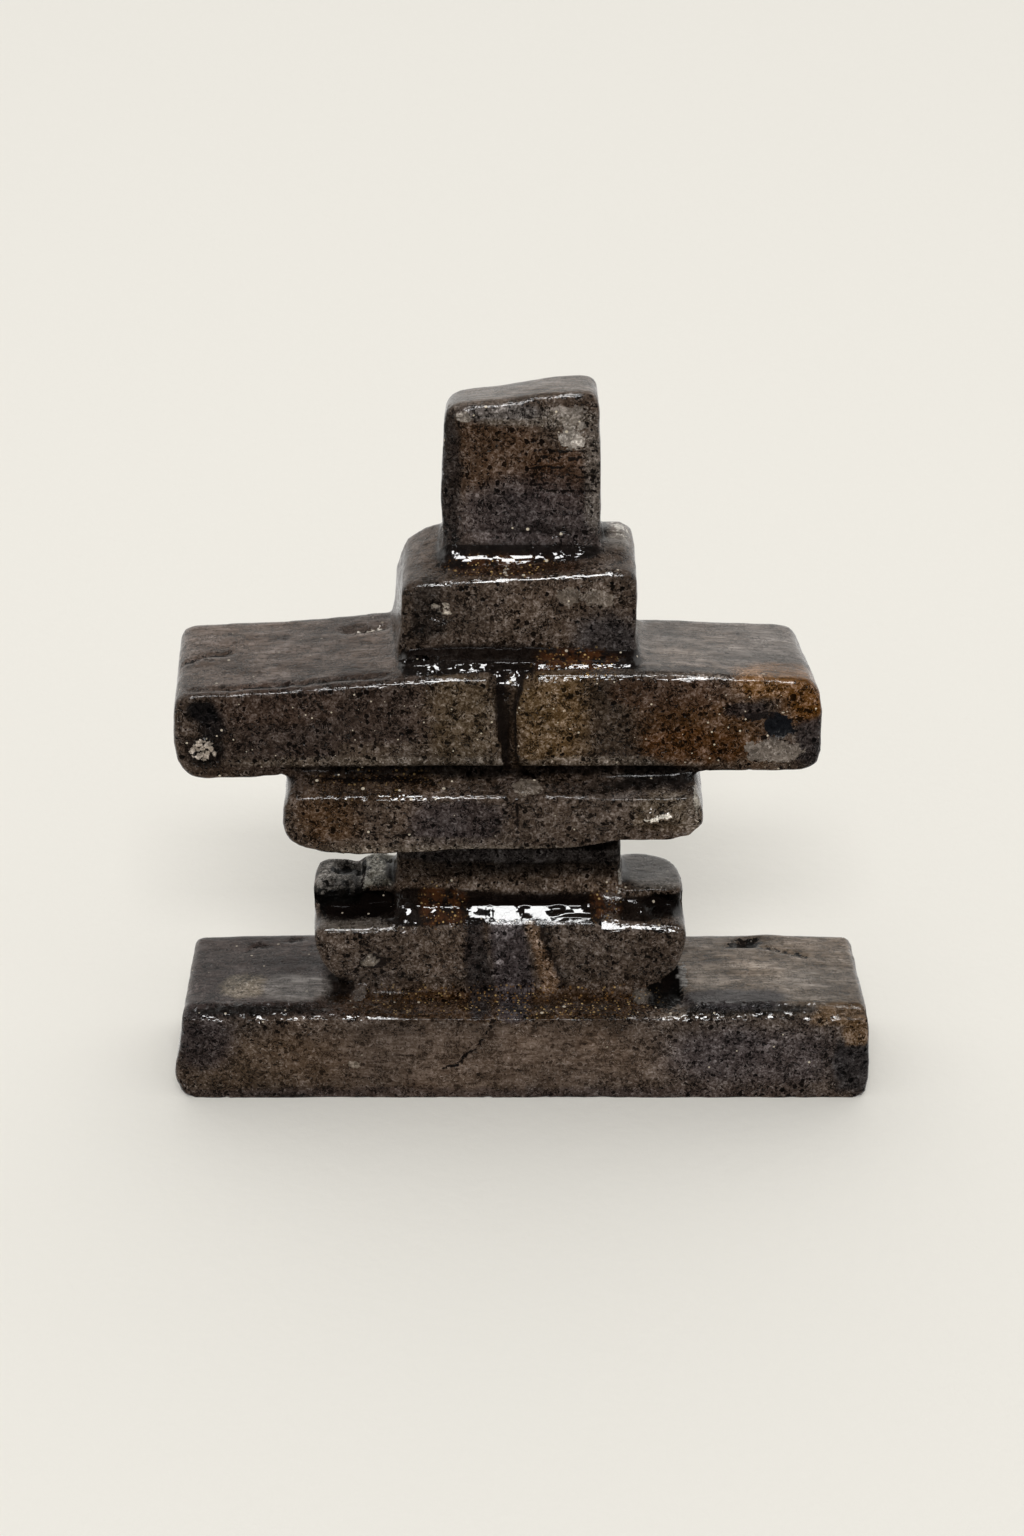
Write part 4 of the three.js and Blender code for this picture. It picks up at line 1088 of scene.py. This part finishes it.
    spark = add(tree, "ShaderNodeMath", {0: spark, 1: amber}, operation="MULTIPLY").outputs[0]
    sparked = add(tree, "ShaderNodeMix", {
        "Factor": spark, "A": dark, "B": spark_colour}, data_type="RGBA").outputs[2]

    # Painted glints: pale flecks, 0.2 to 0.4 mm across, painted into the colour as small highlights, more of
    # them where beads crowd, few on the smooth faces
    glint_cells = add(tree, "ShaderNodeTexVoronoi", {"Vector": place, "Scale": 1 / GLINT_SIZE}, feature="F1")
    glint_chance = add(tree, "ShaderNodeSeparateColor", {0: glint_cells.outputs["Color"]}).outputs[1]
    glint_reach = add(tree, "ShaderNodeMath", {
        0: glinting_beads, 1: 0.22, 2: glint_chance}, operation="MULTIPLY_ADD").outputs[0]
    glint_reach = add(tree, "ShaderNodeMapRange", {0: glint_reach, 1: 0.62, 2: 1.05, 4: 0.2}).outputs[0]
    inside_glint = add(tree, "ShaderNodeMath", {
        0: glint_reach, 1: glint_cells.outputs["Distance"]}, operation="SUBTRACT").outputs[0]
    painted_glints = add(tree, "ShaderNodeMapRange", {
        0: inside_glint, 1: 0.0, 2: 0.03, 4: 0.9}, **SMOOTHLY).outputs[0]
    kept = add(tree, "ShaderNodeMapRange", {0: smooth, 3: 1.0, 4: 0.15}).outputs[0]
    painted_glints = add(tree, "ShaderNodeMath", {0: painted_glints, 1: kept}, operation="MULTIPLY").outputs[0]
    # The pale fleck colour is a painted highlight.
    colour = add(tree, "ShaderNodeMix", {
        "Factor": painted_glints, "A": sparked, "B": (*linear("#d9cdb8"), 1)}, data_type="RGBA").outputs[2]

    # The coat: it follows the grit faintly where it is thin, and the streaks on the smooth faces. Where it
    # is thick it has broad ripples, and among beads and bubbles small steep facets. Each facet rises by its
    # own slope from its middle.
    relief = add(tree, "ShaderNodeMath", {0: grit, 1: hollow}, operation="SUBTRACT").outputs[0]
    under = add(tree, "ShaderNodeBump", {"Height": relief, "Distance": 0.2 * MM, "Strength": 0.8}).outputs[0]
    thin = add(tree, "ShaderNodeMath", {0: 1.0, 1: levelled}, operation="SUBTRACT").outputs[0]
    height = add(tree, "ShaderNodeMath", {0: relief, 1: thin}, operation="MULTIPLY").outputs[0]
    height = add(tree, "ShaderNodeMath", {0: height, 1: 0.035}, operation="MULTIPLY").outputs[0]
    combed = add(tree, "ShaderNodeMath", {0: streaks, 1: smooth}, operation="MULTIPLY").outputs[0]
    height = add(tree, "ShaderNodeMath", {
        0: combed, 1: 0.14, 2: height}, operation="MULTIPLY_ADD").outputs[0]
    bends = add(tree, "ShaderNodeTexNoise", {
        "Vector": place, "Scale": 1 / BEND_SIZE, "Detail": 1.0}).outputs["Color"]
    bent = add(tree, "ShaderNodeVectorMath", {
        0: bends, 1: (1.6, 1.6, 1.6), 2: place}, operation="MULTIPLY_ADD").outputs[0]
    for (size, slope), share in ((RIPPLES, lacquer), (FACETS, glinting_beads)):
        facets = add(tree, "ShaderNodeTexVoronoi", {"Vector": bent, "Scale": 1 / size}, feature="F1")
        from_middle = add(tree, "ShaderNodeVectorMath", {
            0: place, 1: facets.outputs["Position"]}, operation="SUBTRACT").outputs[0]
        lean = add(tree, "ShaderNodeVectorMath", {
            0: facets.outputs["Color"], 1: (0.5, 0.5, 0.5)}, operation="SUBTRACT").outputs[0]
        rise = add(tree, "ShaderNodeVectorMath", {
            0: from_middle, 1: lean}, operation="DOT_PRODUCT").outputs["Value"]
        rise = add(tree, "ShaderNodeMath", {0: rise, 1: slope}, operation="MULTIPLY").outputs[0]
        height = add(tree, "ShaderNodeMath", {
            0: rise, 1: share, 2: height}, operation="MULTIPLY_ADD").outputs[0]
    over = add(tree, "ShaderNodeBump", {"Height": height, "Distance": 1.0 * MM, "Strength": 1.0}).outputs[0]
    shader = add(tree, "ShaderNodeBsdfPrincipled", {
        "Base Color": colour, "Roughness": 0.6, "Normal": under, "IOR": 1.45, "Specular IOR Level": 0.0,
        "Coat Weight": gloss, "Coat Roughness": 0.04, "Coat IOR": 1.55, "Coat Normal": over})
    tree.links.new(shader.outputs[0], output.inputs["Surface"])
    return material


def pale_paper():
    """Uncoated cream paper, matt, with a faint felt-like grain."""
    material, tree, output = empty_material("pale_paper")
    place = add(tree, "ShaderNodeTexCoord").outputs["Object"]
    grain = add(tree, "ShaderNodeTexNoise", {
        "Vector": place, "Scale": 1 / (2.5 * MM), "Detail": 4.0, "Roughness": 0.6}).outputs["Fac"]
    bump = add(tree, "ShaderNodeBump", {"Height": grain, "Distance": 0.25 * MM, "Strength": 0.5}).outputs[0]
    shader = add(tree, "ShaderNodeBsdfPrincipled", {
        "Base Color": (*linear("#e9e6de"), 1), "Roughness": 0.95, "Normal": bump, "Specular IOR Level": 0.1})
    tree.links.new(shader.outputs[0], output.inputs["Surface"])
    return material


# The stage

def floor():
    """A flat pale floor at the height of the underside."""
    mesh = bpy.data.meshes.new("floor")
    corners = [(x * FLOOR_REACH, y * FLOOR_REACH, 0) for x, y in ((-1, -1), (1, -1), (1, 1), (-1, 1))]
    mesh.from_pydata(corners, [], [(0, 1, 2, 3)])
    mesh.materials.append(pale_paper())
    piece = bpy.data.objects.new("floor", mesh)
    piece.visible_glossy = False
    bpy.context.scene.collection.objects.link(piece)


def aimed(piece, place, target):
    """Puts a camera or a light at its place and turns it towards the target."""
    bpy.context.scene.collection.objects.link(piece)
    piece.location = place
    piece.rotation_euler = (Vector(target) - Vector(place)).to_track_quat("-Z", "Y").to_euler()


def camera():
    """A camera at the photograph's viewing angle, level from left to right."""
    data = bpy.data.cameras.new("camera")
    data.lens = CAMERA_LENS
    data.clip_start, data.clip_end = 0.01, 40
    piece = bpy.data.objects.new("camera", data)
    aimed(piece, CAMERA_PLACE, CAMERA_TARGET)
    bpy.context.scene.camera = piece


def softbox(name, tilt, distance, width, height, radiance):
    """A soft rectangular light that looks at the figure's middle from above, tilted by some degrees from
    upright towards the front: its place is the middle plus the distance times (0, -sin tilt, cos tilt). A
    rectangle's power is pi times its area times its radiance."""
    data = bpy.data.lights.new(name, "AREA")
    data.shape = "RECTANGLE"
    data.size, data.size_y = width, height
    data.energy = np.pi * width * height * radiance
    middle = Vector((0, 0, 0.05))
    lean = np.radians(tilt)
    place = middle + distance * Vector((0, -np.sin(lean), np.cos(lean)))
    aimed(bpy.data.objects.new(name, data), place, middle)


def ceiling(width, power):
    """Even light from above, which comes from a cone of this width in degrees. It doesn't show in the
    lacquer."""
    data = bpy.data.lights.new("ceiling", "SUN")
    data.angle = np.radians(width)
    data.energy = power
    piece = bpy.data.objects.new("ceiling", data)
    aimed(piece, (0, 0, 1), (0, 0, 0))
    piece.visible_glossy = False


# How bright the air below and above, the wall behind the figure and the plain background are
LIGHT_BELOW = 0.02
LIGHT_ABOVE = 0.06
WALL_LIGHT = 0.8
BACKGROUND_LIGHT = 0.97


def studio_air():
    """Faint even light from above, a bright wall low behind the figure, and dark below in front of it. The
    background itself is as bright as the floor."""
    world = bpy.data.worlds.new("studio_air")
    bpy.context.scene.world = world
    world.use_nodes = True
    tree = world.node_tree
    tree.nodes.clear()
    way = add(tree, "ShaderNodeSeparateXYZ", {0: add(tree, "ShaderNodeTexCoord").outputs["Generated"]})
    air = add(tree, "ShaderNodeMapRange", {
        0: way.outputs["Z"], 1: -0.04, 2: 0.04, 3: LIGHT_BELOW, 4: LIGHT_ABOVE}, **SMOOTHLY).outputs[0]
    behind = add(tree, "ShaderNodeMapRange", {0: way.outputs["Y"], 1: -0.05, 2: 0.45}, **SMOOTHLY).outputs[0]
    low = add(tree, "ShaderNodeMapRange", {
        0: way.outputs["Z"], 1: 0.5, 2: 0.8, 3: 1.0, 4: 0.0}, **SMOOTHLY).outputs[0]
    wall = add(tree, "ShaderNodeMath", {0: behind, 1: low}, operation="MULTIPLY").outputs[0]
    lit = add(tree, "ShaderNodeMix", {
        "Factor": wall, "A": air, "B": WALL_LIGHT}, data_type="FLOAT").outputs[0]
    direct = add(tree, "ShaderNodeLightPath").outputs["Is Camera Ray"]
    strength = add(tree, "ShaderNodeMix", {
        "Factor": direct, "A": lit, "B": BACKGROUND_LIGHT}, data_type="FLOAT").outputs[0]
    background = add(tree, "ShaderNodeBackground", {"Color": (*linear("#fffdf9"), 1), "Strength": strength})
    output = add(tree, "ShaderNodeOutputWorld")
    tree.links.new(background.outputs[0], output.inputs["Surface"])


figure = carved_figure(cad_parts["inukshuk_figure"])
figure.data.materials.clear()
figure.data.materials.append(lacquered_soapstone())
floor()
camera()
softbox("softbox", tilt=42.0, distance=6.0, width=2.6, height=0.8, radiance=21.0)
ceiling(width=140.0, power=1.9)
studio_air()
bpy.context.scene.view_settings.view_transform = "Standard"
